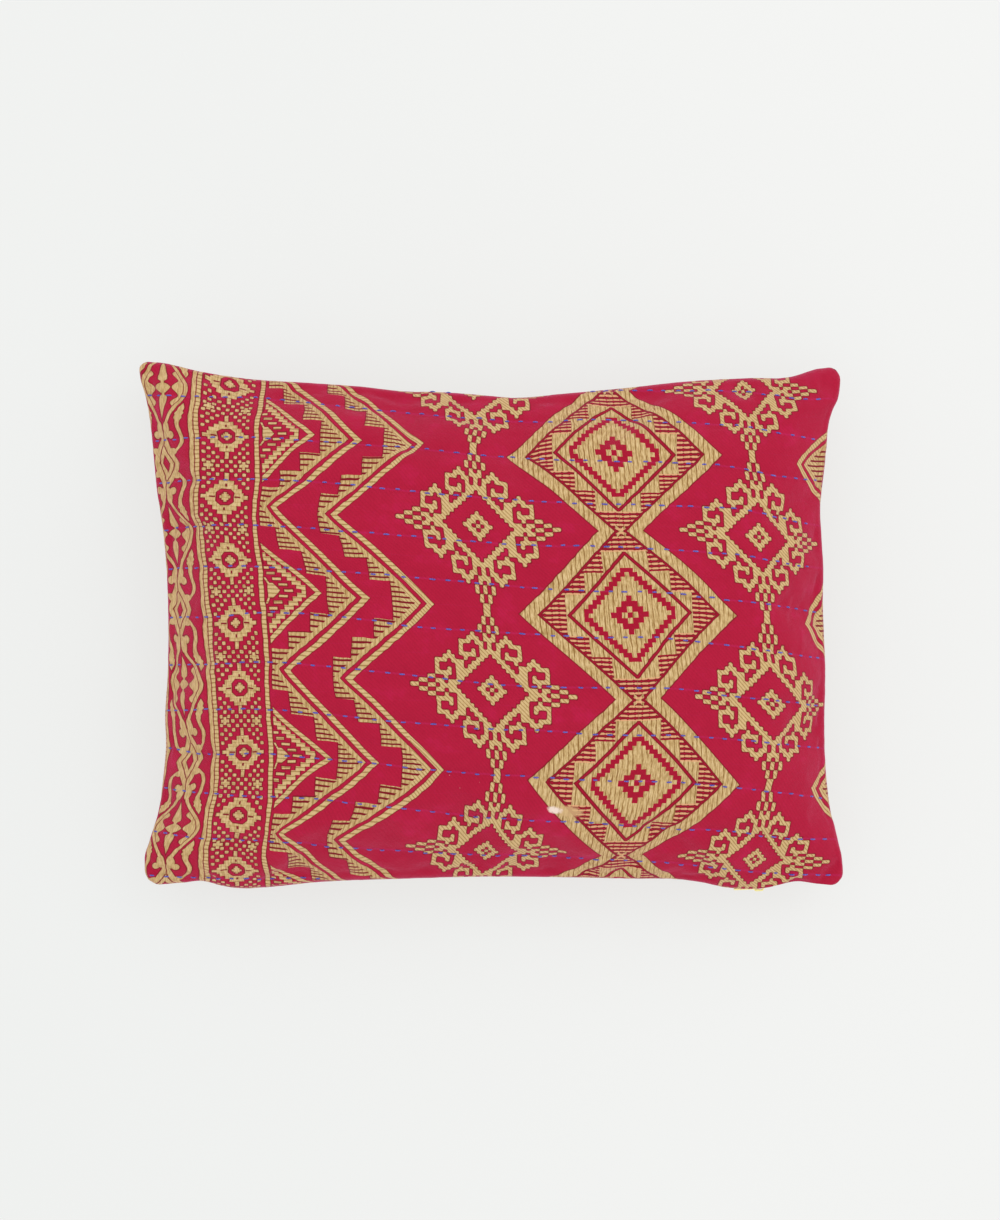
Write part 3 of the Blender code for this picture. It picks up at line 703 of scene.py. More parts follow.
def press_channels(cushion, walks):
    """Sinks the rows of stitches into the cover, deeper where a stitch pulls it down."""
    cushion.rows = {}
    for name, sign in (("front", 1), ("back", -1)):
        grid = getattr(cushion, name)
        normal = grid_normals(grid, sign)
        # The back's rows lie straight below the photograph's, as if seen through the seam
        seen = grid if name == "front" else grid * (1, 1, 0) + (0, 0, SEAM_HEIGHT)
        x, y = photo_place(seen)
        gap, nearest = row_distances(x, y)
        gone = np.zeros(gap.shape)
        for number, (pixels, lengths) in enumerate(walks[name]):
            if len(pixels):
                gone = np.where(nearest == number, np.interp(x, pixels, lengths), gone)
        turn = 2 * np.pi * gone / STITCH_PITCH
        soft = np.exp(-((gap / CHANNEL_HALF_WIDTH) ** 2))
        near = np.exp(-((gap / RIPPLE_HALF_WIDTH) ** 2))
        pull = 1 + CHANNEL_RIPPLE * np.cos(turn) * near
        beside = np.exp(-((gap / GATHER_REACH) ** 2))
        gathers = GATHER_HEIGHT * np.cos(turn + GATHER_LEAN * gap) * beside
        edge = np.clip(crown(cushion.along, cushion.across) * CHANNEL_FADE, 0, 1)
        rise = SWELL_BETWEEN_ROWS - CHANNEL_DEPTH * soft * pull + gathers
        grid += normal * (edge * rise)[..., None]
        cushion.rows[name] = (gone / STITCH_PITCH, gap)
    keep_above_floor(cushion)


def pucker_seam(cushion):
    """Small gathers of the cover along its seam, fading inwards."""
    rng = np.random.default_rng(PUCKER_SEED)
    for name, sign in (("front", 1), ("back", -1)):
        grid = getattr(cushion, name)
        normal = grid_normals(grid, sign)
        across, up = arc_lengths(grid)
        sides = (
            (across - across[:, :1], up), (across[:, -1:] - across, up),
            (up - up[:1], across), (up[-1:] - up, across),
        )
        total = np.zeros(across.shape)
        for inwards, beside in sides:
            wave = 0
            for length in PUCKER_LENGTHS:
                stretch = beside / rng.uniform(*PUCKER_STRETCHES) + rng.uniform(0, 6)
                strength = 0.55 + 0.45 * np.sin(stretch)
                wave = wave + strength * np.sin(2 * np.pi * beside / length + rng.uniform(0, 6))
            fading = np.exp(-inwards / PUCKER_REACH)
            total += wave * fading * np.clip(inwards / PUCKER_EASE, PUCKER_LEAST_SHARE, 1)
        grid += normal * (PUCKER_HEIGHT * total)[..., None]
    keep_above_floor(cushion)


# The map of the flat cloth

# The print's cells, in millimetres
CELL_ACROSS = 2.50
CELL_DOWN = 2.48
# Lengths are divided by this before the spline is worked out
SPLINE_SCALE = 100
# How much the spline may miss a measured place, to stay smooth
PRINT_SLACK = 0.002
# How many of the cover's points round a measured place say where it lies on the cloth
POINTS_ROUND_PLACE = 12
# Where the back panel was cut from the same cloth, in cells; the photograph doesn't show it
BACK_START = (70.0, 230.0)
# The sheet on which the two faces lie one above the other for baking
BAKE_WIDE = 440.0
BAKE_HIGH = 340.0
# The rim is moved this far off the rows, so that no row's line shows on it
RIM_OFF_ROWS = 50.0


def spline_terms(a, b, anchors):
    """The terms of a thin sheet's spline: one for each anchor, and a slanting plane."""
    a, b = a / SPLINE_SCALE, b / SPLINE_SCALE
    square = (a[..., None] - anchors[:, 0]) ** 2 + (b[..., None] - anchors[:, 1]) ** 2
    bent = square * np.log(square + 1e-9)
    return np.concatenate([bent, np.ones((*a.shape, 1)), a[..., None], b[..., None]], -1)


def fit_print(cushion, across, up):
    """How the print lies on the front: a smooth sheet through the measured places."""
    x, y = photo_place(cushion.front)
    flat_x, flat_y = x.ravel(), y.ravel()
    places, targets = [], []
    for cell_u, cell_v, px, py in PRINT_PLACES:
        near = np.argsort((flat_x - px) ** 2 + (flat_y - py) ** 2)[:POINTS_ROUND_PLACE]
        terms = np.stack([np.ones(POINTS_ROUND_PLACE), flat_x[near] - px, flat_y[near] - py], 1)
        a = np.linalg.lstsq(terms, across.ravel()[near], rcond=None)[0][0]
        b = np.linalg.lstsq(terms, up.ravel()[near], rcond=None)[0][0]
        places.append((a, b))
        targets.append((cell_u, cell_v))
    places, targets = np.array(places), np.array(targets)
    anchors = places / SPLINE_SCALE
    terms = spline_terms(*places.T, anchors)
    count = len(anchors)
    system = np.zeros((count + 3, count + 3))
    system[:count] = terms
    system[:count, :count] += PRINT_SLACK * np.eye(count)
    system[count:, :count] = terms[:, count:].T
    factors = np.linalg.solve(system, np.concatenate([targets, np.zeros((3, 2))]))
    return anchors, factors


def cloth_maps(cushion):
    """For every point: its place on the flat cloth, on the rows of stitches, and for baking."""
    anchors, factors = fit_print(cushion, *cushion.lengths["front"])

    def printed(name, across, up):
        if name == "front":
            return spline_terms(across, up, anchors) @ factors
        flat = [BACK_START[0] - across / CELL_ACROSS, BACK_START[1] - up / CELL_DOWN]
        return np.stack(flat, -1)

    def on_bake_sheet(plan_points, lift):
        return (plan_points / (BAKE_WIDE, BAKE_HIGH) + 0.5) * (1, 0.5) + (0, lift)

    faces = {"cloth": [], "rows": [], "bake": []}
    rims = {"cloth": [], "rows": [], "bake": []}
    for name, lift in (("front", 0.5), ("back", 0.0)):
        grid = getattr(cushion, name)
        lengths = np.stack(cushion.lengths[name], -1)
        rows = np.stack(cushion.rows[name], -1)
        faces["cloth"].append(printed(name, lengths[..., 0], lengths[..., 1]).reshape(-1, 2))
        faces["rows"].append(rows.reshape(-1, 2))
        faces["bake"].append(on_bake_sheet(grid[..., :2], lift).reshape(-1, 2))
        edge = rim_loop(grid)
        edge_lengths = rim_loop(lengths)
        gone = np.zeros(len(edge))
        last = edge
        for ring in cushion.rings[name]:
            gone = gone + np.linalg.norm(ring - last, axis=1)
            last = ring
            outward = -cushion.inward * gone[:, None]
            rims["cloth"].append(printed(name, *(edge_lengths + outward).T))
            rims["rows"].append(rim_loop(rows) + (0.0, RIM_OFF_ROWS))
            # The rim folds under, so it takes half its width on the sheet for baking
            rims["bake"].append(on_bake_sheet(edge[:, :2] + outward * 0.5, lift))
    return [np.concatenate(faces[kind] + rims[kind]) for kind in ("cloth", "rows", "bake")]


def add_map(mesh, name, values, corner_points):
    """A map of the mesh: each corner of a face takes the value of its point."""
    layer = mesh.uv_layers.new(name=name)
    layer.data.foreach_set("uv", values[corner_points].ravel())


def close_seam_map(cushion):
    """For each corner of a face, the point whose map it takes.

    The strip in the seam takes the front's values on both its edges.
    """
    corner_points = cushion.faces.ravel().copy()
    size = len(cushion.loop)
    turns = len(ROLL_TURNS)
    front_last = 2 * cushion.count + size * (turns - 1)
    back_last = 2 * cushion.count + size * (2 * turns - 1)
    seam_first = 4 * (2 * (cushion.lines - 1) * (cushion.columns - 1) + size * turns)
    strip = corner_points[seam_first:seam_first + 4 * size]
    strip[strip >= back_last] += front_last - back_last
    return corner_points


def make_cushion():
    cushion = Cushion(FINE_COLUMNS, FINE_LINES, 1.0)
    # Lengths along the cloth are taken while it is still smooth
    cushion.lengths = {"front": arc_lengths(cushion.front), "back": arc_lengths(cushion.back)}
    fill_cover(cushion)
    cushion.close()
    tree = surface(cushion.points, cushion.faces)
    walks = {
        "front": [walk_row(tree, n, True) for n in range(len(STITCH_ROWS))],
        "back": [walk_row(tree, n, False) for n in range(len(STITCH_ROWS))],
    }
    press_channels(cushion, walks)
    pucker_seam(cushion)
    cushion.close()
    cloth, rows, bake = cloth_maps(cushion)
    mesh = make_mesh("cushion_cover", cushion.points, cushion.faces.tolist())
    corner_points = close_seam_map(cushion)
    add_map(mesh, "cloth", cloth, corner_points)
    add_map(mesh, "rows", rows, corner_points)
    add_map(mesh, "OFBake", bake, corner_points)
    mesh.shade_smooth()
    cover = make_object("cushion_cover", mesh)
    return cover, cushion, walks


def thread_points(spine, up, front, angles):
    """Points of a stitch's thread, ring by ring along its spine."""
    ahead = spine[-1] - spine[0]
    ahead -= up * (ahead @ up)
    ahead /= np.linalg.norm(ahead)
    beside = np.cross(ahead, up) * THREAD_FLATNESS
    points = []
    for place, (share, height) in zip(spine, THREAD_PROFILE):
        centre = place + up * height
        if not front:
            # Where the cushion lies on the floor, the thread is pressed into the cloth
            centre[2] = max(centre[2], THREAD_RADIUS * 0.9)
        for angle in angles:
            round_it = np.cos(angle) * beside + np.sin(angle) * up
            points.append(centre + THREAD_RADIUS * share * round_it)
    return points


def thread_faces(first):
    """Faces of a stitch's thread, whose points are numbered from first, ring by ring."""
    around = np.arange(THREAD_SIDES)
    rings = [first + THREAD_SIDES * i + around for i in range(len(THREAD_PROFILE))]
    faces = []
    for ring, following in zip(rings, rings[1:]):
        sides = [ring, np.roll(ring, -1), np.roll(following, -1), following]
        faces += np.stack(sides, 1).tolist()
    return faces + [rings[0][::-1].tolist(), rings[-1].tolist()]


def make_stitches(cushion, walks):
    """Each stitch as a short thread that dips into the cover at its ends."""
    tree = surface(cushion.points, cushion.faces)
    rng = np.random.default_rng(STITCH_SEED)
    shares = np.linspace(0, 1, len(THREAD_PROFILE)) - 0.5
    angles = np.arange(THREAD_SIDES) * 2 * np.pi / THREAD_SIDES
    points, faces, marks = [], [], []
    for name, sign in (("front", 1), ("back", -1)):
        for number, (pixels, lengths) in enumerate(walks[name]):
            if len(pixels) < 2:
                continue
            count = int((lengths[-1] - ROW_END_ROOM) / STITCH_PITCH)
            for n in range(count):
                middle = (n + 0.5) * STITCH_PITCH + rng.normal(0, STRAY_ALONG)
                length = STITCH_LENGTH * rng.uniform(*STITCH_SHARES)
                aside = rng.normal(0, STRAY_ASIDE)
                tilt = rng.normal(0, STRAY_TILT)
                where = middle + shares * length
                x = np.interp(where, lengths, pixels)
                y = read_row(STITCH_ROWS[number], x) + aside + tilt * shares
                found = [point_on(tree, *pixel, sign > 0) for pixel in zip(x, y)]
                if any(place is None for place, _ in found):
                    continue
                spine = np.array([place for place, _ in found])
                up = np.array([normal for _, normal in found])
                up *= np.sign(up[:, 2:3]) * sign
                up = up.mean(0)
                up /= np.linalg.norm(up)
                faces += thread_faces(len(points))
                points += thread_points(spine, up, sign > 0, angles)
                marks += [(s, angle) for s in where for angle in angles]
    mesh = make_mesh("quilting_stitches", np.array(points), faces)
    corner_points = np.empty(len(mesh.loops), int)
    mesh.loops.foreach_get("vertex_index", corner_points)
    add_map(mesh, "thread", np.array(marks), corner_points)
    mesh.shade_smooth()
    return make_object("quilting_stitches", mesh)


# Materials

class Num:
    """A number inside a node tree: ordinary arithmetic on it adds the nodes that work it out."""

    def __init__(self, tree, socket):
        self.tree = tree
        self.socket = socket

    def math(self, operation, *others):
        node = self.tree.nodes.new("ShaderNodeMath")
        node.operation = operation
        for place, value in zip(node.inputs, (self, *others)):
            if isinstance(value, Num):
                self.tree.links.new(value.socket, place)
            else:
                place.default_value = value
        return Num(self.tree, node.outputs[0])

    def __add__(self, other):
        return self.math("ADD", other)

    def __sub__(self, other):
        return self.math("SUBTRACT", other)

    def __rsub__(self, other):
        return self.math("MULTIPLY_ADD", -1.0, other)

    def __mul__(self, other):
        return self.math("MULTIPLY", other)

    def __truediv__(self, other):
        return self.math("DIVIDE", other)

    def __mod__(self, other):
        return self.math("FLOORED_MODULO", other)

    def __abs__(self):
        return self.math("ABSOLUTE")

    def floor(self):
        return self.math("FLOOR")

    def over(self, limit):
        return self.math("GREATER_THAN", limit)

    def under(self, limit):
        return self.math("LESS_THAN", limit)

    def held(self, low, high):
        return self.math("MAXIMUM", low).math("MINIMUM", high)

    def two_to_it(self):
        node = self.tree.nodes.new("ShaderNodeMath")
        node.operation = "POWER"
        node.inputs[0].default_value = 2.0
        self.tree.links.new(self.socket, node.inputs[1])
        return Num(self.tree, node.outputs[0])

    def ramp(self, low, high):
        """0 below low, 1 above high, even between."""
        node = self.tree.nodes.new("ShaderNodeMapRange")
        node.inputs["From Min"].default_value = low
        node.inputs["From Max"].default_value = high
        self.tree.links.new(self.socket, node.inputs["Value"])
        return Num(self.tree, node.outputs["Result"])

    __radd__ = __add__
    __rmul__ = __mul__


def either(*shapes):
    """The union of shapes, each given as how far inside it a place is."""
    total = shapes[0]
    for shape in shapes[1:]:
        total = total.math("MAXIMUM", shape)
    return total


def both(*shapes):
    """What shapes have in common, each given as how far inside it a place is."""
    total = shapes[0]
    for shape in shapes[1:]:
        total = total.math("MINIMUM", shape)
    return total


def folded(number, start, period):
    """Distance to the nearest of the places that repeat from start."""
    return abs((number - (start - period / 2)) % period - period / 2)


def stripe(number, middle, half_width):
    """Where a number lies within half a stripe's width of its middle."""
    return half_width - abs(number - middle)


def box(x, y, wide, high):
    """Where two distances are less than a box's half width and half height."""
    return both(wide - x, high - y)


def oval(x, y, middle_x, middle_y, wide, high):
    """1 in the middle of an oval, 0 at its edge and less outside it."""
    off_x, off_y = (x - middle_x) / wide, (y - middle_y) / high
    return 1.0 - (off_x * off_x + off_y * off_y)


def rounded(number):
    return (number + 0.5).floor()


def positive(number):
    return number.math("MAXIMUM", 0.0)


# How many stops a ramp can have, and how quickly one square of a chart turns into the next
CHART_STOPS = 32
CHART_QUICKNESS = 1.7
# One quarter of a star, from its centre out: rows go down from the centre, columns to the side
STAR_CHART = (
    "#.##.....####.##..##",
    ".##.....###.##..##..",
    "##.....##..#..##....",
    "#.....###.####......",
    ".....####.#..#......",
    "....##.##....#......",
    "...##..###.###......",
    "..##..#..###........",
    ".##.####..#.........",
    "###.#..#............",
    "#.#....#............",
    "#.##.###............",
    "##.###..............",
    ".#..#...............",
    "#.#.................",
    "#.#.................",
    ".#..................",
    ".#..................",
    "#...................",
    "#...................",
)


def chart(across, down, rows):
    """How much of a drawn chart's marks lies at a place, smoothed between its squares.

    A row of the chart is read as a binary number, which one stop of a stepped ramp holds.
    """
    tree = across.tree
    scale = 2.0 ** len(rows[0])
    column, row = across.floor(), down.floor()
    # Squares keep their corners: the change from one to the next is quick
    beside = ((across - column - 0.5) * CHART_QUICKNESS + 0.5).held(0.0, 1.0)
    below = ((down - row - 0.5) * CHART_QUICKNESS + 0.5).held(0.0, 1.0)
    lines = []
    for start in (row, row + 1.0):
        node = tree.nodes.new("ShaderNodeValToRGB")
        node.color_ramp.interpolation = "CONSTANT"
        stops = node.color_ramp.elements
        for number, marks in enumerate(rows):
            value = sum(2**place for place, mark in enumerate(marks) if mark == "#") / scale
            position = number / CHART_STOPS
            stop = stops[number] if number < 2 else stops.new(position)
            stop.position = position
            stop.color = (value, value, value, 1)
        tree.links.new(((start + 0.5) / CHART_STOPS).socket, node.inputs["Fac"])
        parts = tree.nodes.new("ShaderNodeSeparateColor")
        tree.links.new(node.outputs["Color"], parts.inputs["Color"])
        held = Num(tree, parts.outputs["Red"]) * scale + 0.5
        ends = [(held / place.two_to_it()).floor() % 2.0 for place in (column, column + 1.0)]
        lines.append(ends[0] + (ends[1] - ends[0]) * beside)
    return lines[0] + (lines[1] - lines[0]) * below


# The layout of the print, in cells of about 2.5 mm: so are the numbers in the motifs below it.
# Across the cloth all is counted from the beaded line, and mirrored about the large diamonds
LAYOUT_MIRROR = 84.3
HALF_REPEAT = 19.0
VINE_AXIS = -21.15
VINE_REPEAT = 34.3
VINE_START = 8.9
VINE_EDGE = -14.8
PLAIN_LINE = -13.9
DOUBLE_LINE = -13.35
BEADED_LINE = -12.8
BAND_CENTRE = -6.8
BAND_START = 19.2
BAND_PERIOD = 14.9
# The ground of the band reaches from one beaded line to the other
BAND_GROUND = (-12.3, -0.6)
# The band's dots: from row to row, and from one to the next in a row
DOT_ROW = 1.035
DOT_STEP = 1.86
# The two zigzags: a valley, a tip, and the stepped edge of the hatched blocks from valley to tip
FIRST_ZIGZAG = (6.35, 24.4, (1.5, 5.6, 10.5, 15.0))
SECOND_ZIGZAG = (20.6, 39.3, (16.0, 20.1, 25.0, 29.5))
# Half the width of a zigzag's line, how far inside it the blocks start, and where they are hatched
ZIGZAG_LINE = 0.82
BLOCKS_INSET = 3.05
HATCH_INSET = 4.5
# The length of a block, the step of its hatching, and half the width of the gap in each step
BLOCK = 4.75
HATCH = 1.19
HATCH_GAP = 0.22
# The small triangles: how far they reach, and from one rank of dashes to the next
TRIANGLE_REACH = 13.7
RANK_STEP = 1.42
STAR_PLACE = 51.7
STAR_NARROWING = 1.035
# How much of a chart's square has to be marked, and how fast the star's edge rises
STAR_SHARE = 0.55
STAR_SLOPE = 0.62
# How far a star reaches to the side, and where the stem between two stars starts
STAR_REACH = 20.0
STEM_START = 17.6
DIAMONDS_START = 55.0
# The large diamonds: how far their rim and the deeper ground inside it reach, and the steps of
# their bars, dashes and flower
DIAMOND_REACH = 25.1
DIAMOND_GROUND = 23.0
BAR_STEP = 1.06
DASH_STEP = 1.7
FLOWER_STEP = 1.25
# Past this slanting line, in cells across less cells down, a little gold shows at the upper right
CORNER_TIP = 148.5
# One bead of gold thread, and one thread of the diamonds
THREAD_STEP = 1.0
UPRIGHT_STEP = 1.12
# How far the printing blocks wander across and down
PRINT_WANDER = (0.22, 0.16)
# Half the cells by which the valleys are shifted up, and the places across between which this
# number falls by one
VALLEY_RISE = 1.3
RISE_LOST = (8.0, 45.0)


def blocks_edge(distance, edges):
    """The stepped edge of hatched blocks: each edge holds for one block's length."""
    total = distance.over(BLOCK) * (edges[1] - edges[0]) + edges[0]
    for number in range(2, len(edges)):
        step = distance.over(BLOCK * number) * (edges[number] - edges[number - 1])
        total = total + step
    return total


def zigzag(u, v, from_valley, valley, tip, edges):
    """A zigzag's line with its hatched blocks, and the blocks alone."""
    inside = from_valley * ((tip - valley) / HALF_REPEAT) + valley - u
    line = stripe(inside, ZIGZAG_LINE, ZIGZAG_LINE)
    blocks = both(inside - BLOCKS_INSET, u - blocks_edge(from_valley, edges))
    hatching = either(folded(v, 0.0, HATCH) - HATCH_GAP, HATCH_INSET - inside)
    return either(line, both(blocks, hatching)), blocks


def triangles(u, from_tip):
    """The small triangles on the beaded line: u is the distance from that line."""
    line = both(stripe(TRIANGLE_REACH - from_tip * 1.06 - u, 0.75, 0.75), u - 1.2)
    # A stepped line runs inside the straight one
    step = rounded(from_tip)
    steps = both(9.9 - positive(step - 1.0) - u, u - 8.9 + step, u - 1.2)
    # Ranks of dashes fill it, round an arrow at the root
    rank = rounded(from_tip / RANK_STEP)
    dash = both(
        stripe(u, 6.1 - rank * 1.25, 0.95), stripe(from_tip, rank * RANK_STEP, 0.3),
        u - 0.9, u - 4.6 + from_tip * 1.1, 8.2 - from_tip,
    )
    arrow = both(4.2 - from_tip * 0.9 - u, u - 1.5, 1.8 - from_tip)
    barb = both(stripe(u, 1.0 + (3.0 - from_tip) * 0.5, 0.22), 3.1 - from_tip, from_tip - 1.5)
    return either(line, steps, dash, arrow, barb)


def vine(x, y):
    """A quarter of the vine: x and y are the distances from its axis and from an oval's centre."""

    def bell(centre, width):
        off = (y - centre) / width
        return (off * off * -1.0).math("EXPONENT")

    def disc(middle_x, middle_y, wide, high):
        return oval(x, y, middle_x, middle_y, wide, high) * (0.5 * wide)

    def wave(period):
        return (y * (2 * np.pi / period)).math("COSINE")

    # Two strands swing apart round the ovals and cross between them
    strand_at = bell(0.0, 5.85) * 5.1 + 0.3
    strand = both(stripe(x, strand_at, 0.45), x - 0.12, 12.9 - y)
    # An oval holds a lens, a drop above and below it on a short neck, and leaves on both sides
    leaves = both(x - (2.95 - wave(3.3) * 0.7), strand_at - 0.62 - x, 4.6 - y)
    lens = 1.12 - y - x * x * 0.3
    drop = both(((y - 1.25) * 1.5).math("MINIMUM", 1.05), (6.7 - y) * 0.265) - x
    neck = box(x, y, 0.35, 2.0)
    # A small diamond sits where the strands cross, with a husk and buds round it
    slant = x * 2.0 + 17.15 - y
    ring = both(slant - 2.1, 4.25 - slant) * 0.45
    husk = both(both(slant - 4.85, 7.6 - slant) * 0.45, x - 0.12)
    buds = either(
        disc(2.6, 14.3, 1.1, 0.7), disc(2.2, 10.5, 0.85, 0.9), disc(1.1, 9.2, 0.9, 1.9),
    )
    # An outer leaf runs beside the strands
    leaf_at = ((y - 11.4) * 0.838).math("COSINE") * 0.42 + 4.5
    leaf_at = leaf_at + positive(5.0 - y) * 0.25 - positive(y - 13.3) * 0.7
    width = bell(5.8, 1.4) * 0.5 + 0.46 + wave(1.1) * bell(5.8, 1.3) * 0.15
    leaf = both(width, (y - 3.2) * 0.6, (15.3 - y) * 0.8) - abs(x - leaf_at)
    return either(strand, leaves, lens, drop, neck, ring, husk, buds, leaf)


def diamonds(x, y):
    """The large diamonds, and their bars: x and y are the distances from a diamond's centre."""
    rim = both(DIAMOND_REACH - y * 1.05 - x, x - 21.1 + y * 1.03) * 0.69
    # The body ends in steps, and bars fill the corners between it and the rim
    body_edge = 14.6 - y.over(4.65) * 4.7 - y.over(9.4) * 4.6 - y.over(14.2) * 5.3
    corners = both(x - body_edge, (20.2 - y * 1.03 - x) * 0.69)
    dashes = 0.24 - positive(folded(x, 0.0, DASH_STEP) - 0.55) * 0.5
    bars = both(dashes - folded(y, BAR_STEP / 2, BAR_STEP), corners)
    # A straight ring, a stepped ring and a small flower are left out of the body's gold
    ring = 0.42 - abs(x + y - 13.9) * 0.7
    i, j = rounded(x), rounded(y)
    steps = both(1.05 - abs(i + j - 10.5), 10.5 - i, 10.5 - j)
    rank = rounded(x / FLOWER_STEP) + rounded(y / FLOWER_STEP)
    flower = both(3.5 - rank, abs(rank - 1.0) - 0.5)
    body = both(body_edge - x, ring * -1.0, steps * -1.0, flower * -1.0)
    cross = both(0.3 - abs(x - (HALF_REPEAT - y)) * 0.7, 1.1 - x)
    return either(rim, bars, body, cross), bars


def band(u, v):
    """The narrow band of small stepped diamonds among dots."""
    x = abs(u - BAND_CENTRE)
    y = folded(v, BAND_START, BAND_PERIOD)
    # A stepped diamond has an opening, four notches and a cross in its middle
    steps = both((4.35 - y.floor() * 0.95).math("MINIMUM", 3.9) - x, 4.0 - y)
    opening = both(1.9 - x, 2.0 - y, 2.95 - x - y)
    notches = either(both(0.18 - y, stripe(x, 2.6, 0.6)), both(0.2 - x, stripe(y, 2.85, 0.35)))
    ring = both(either(steps, box(x, y, 4.9, 0.42)), opening * -1.0, notches * -1.0)
    cross = either(box(x, y, 0.3, 1.1), box(x, y, 1.1, 0.3), box(x, y, 0.68, 0.68))
    tick = both(0.4 - x, stripe(y, 4.95, 0.85))
    # The dots stand in slanting rows, counted from half way between two diamonds
    from_middle = BAND_PERIOD / 2 - y
    row = rounded(from_middle / DOT_ROW)
    shift = (row % 2.0) * (DOT_STEP / 2)
    dot_at = rounded((x - shift) / DOT_STEP) * DOT_STEP + shift
    off_x, off_y = abs(x - dot_at), abs(from_middle - row * DOT_ROW)
    dots = both(
        box(off_x, off_y, 0.38, 0.38), 0.62 - off_x - off_y, 5.1 - dot_at,
        dot_at - row * DOT_ROW + (BAND_PERIOD / 2 - 6.1),
    )
    # A small cross stands on each side half way between two diamonds
    plus_x, plus_y = abs(x - 2 * DOT_STEP), abs(from_middle)
    plus = either(box(plus_x, plus_y, 1.02, 0.36), box(plus_x, plus_y, 0.38, 0.95))
    return either(ring, cross, tick, dots, plus)


def new_group(name, inputs, outputs):
    tree = bpy.data.node_groups.new(name, "ShaderNodeTree")
    for label, kind, value in inputs:
        socket = tree.interface.new_socket(label, in_out="INPUT", socket_type=kind)
        if value is not None:
            socket.default_value = value
    for label, kind in outputs:
        tree.interface.new_socket(label, in_out="OUTPUT", socket_type=kind)
    return tree, tree.nodes.new("NodeGroupInput"), tree.nodes.new("NodeGroupOutput")


def split(tree, socket):
    node = tree.nodes.new("ShaderNodeSeparateXYZ")
    tree.links.new(socket, node.inputs[0])
    return Num(tree, node.outputs["X"]), Num(tree, node.outputs["Y"])


def noise(tree, socket, stretch, detail, roughness=0.5):
    """Noise from -1 to 1 at a place, which is stretched first."""
    mapping = tree.nodes.new("ShaderNodeMapping")
    mapping.inputs["Scale"].default_value = stretch
    tree.links.new(socket, mapping.inputs["Vector"])
    node = tree.nodes.new("ShaderNodeTexNoise")
    node.inputs["Scale"].default_value = 1.0
    node.inputs["Detail"].default_value = detail
    node.inputs["Roughness"].default_value = roughness
    tree.links.new(mapping.outputs["Vector"], node.inputs["Vector"])
    return Num(tree, node.outputs["Fac"]) * 2.0 - 1.0


FLOAT = "NodeSocketFloat"
VECTOR = "NodeSocketVector"


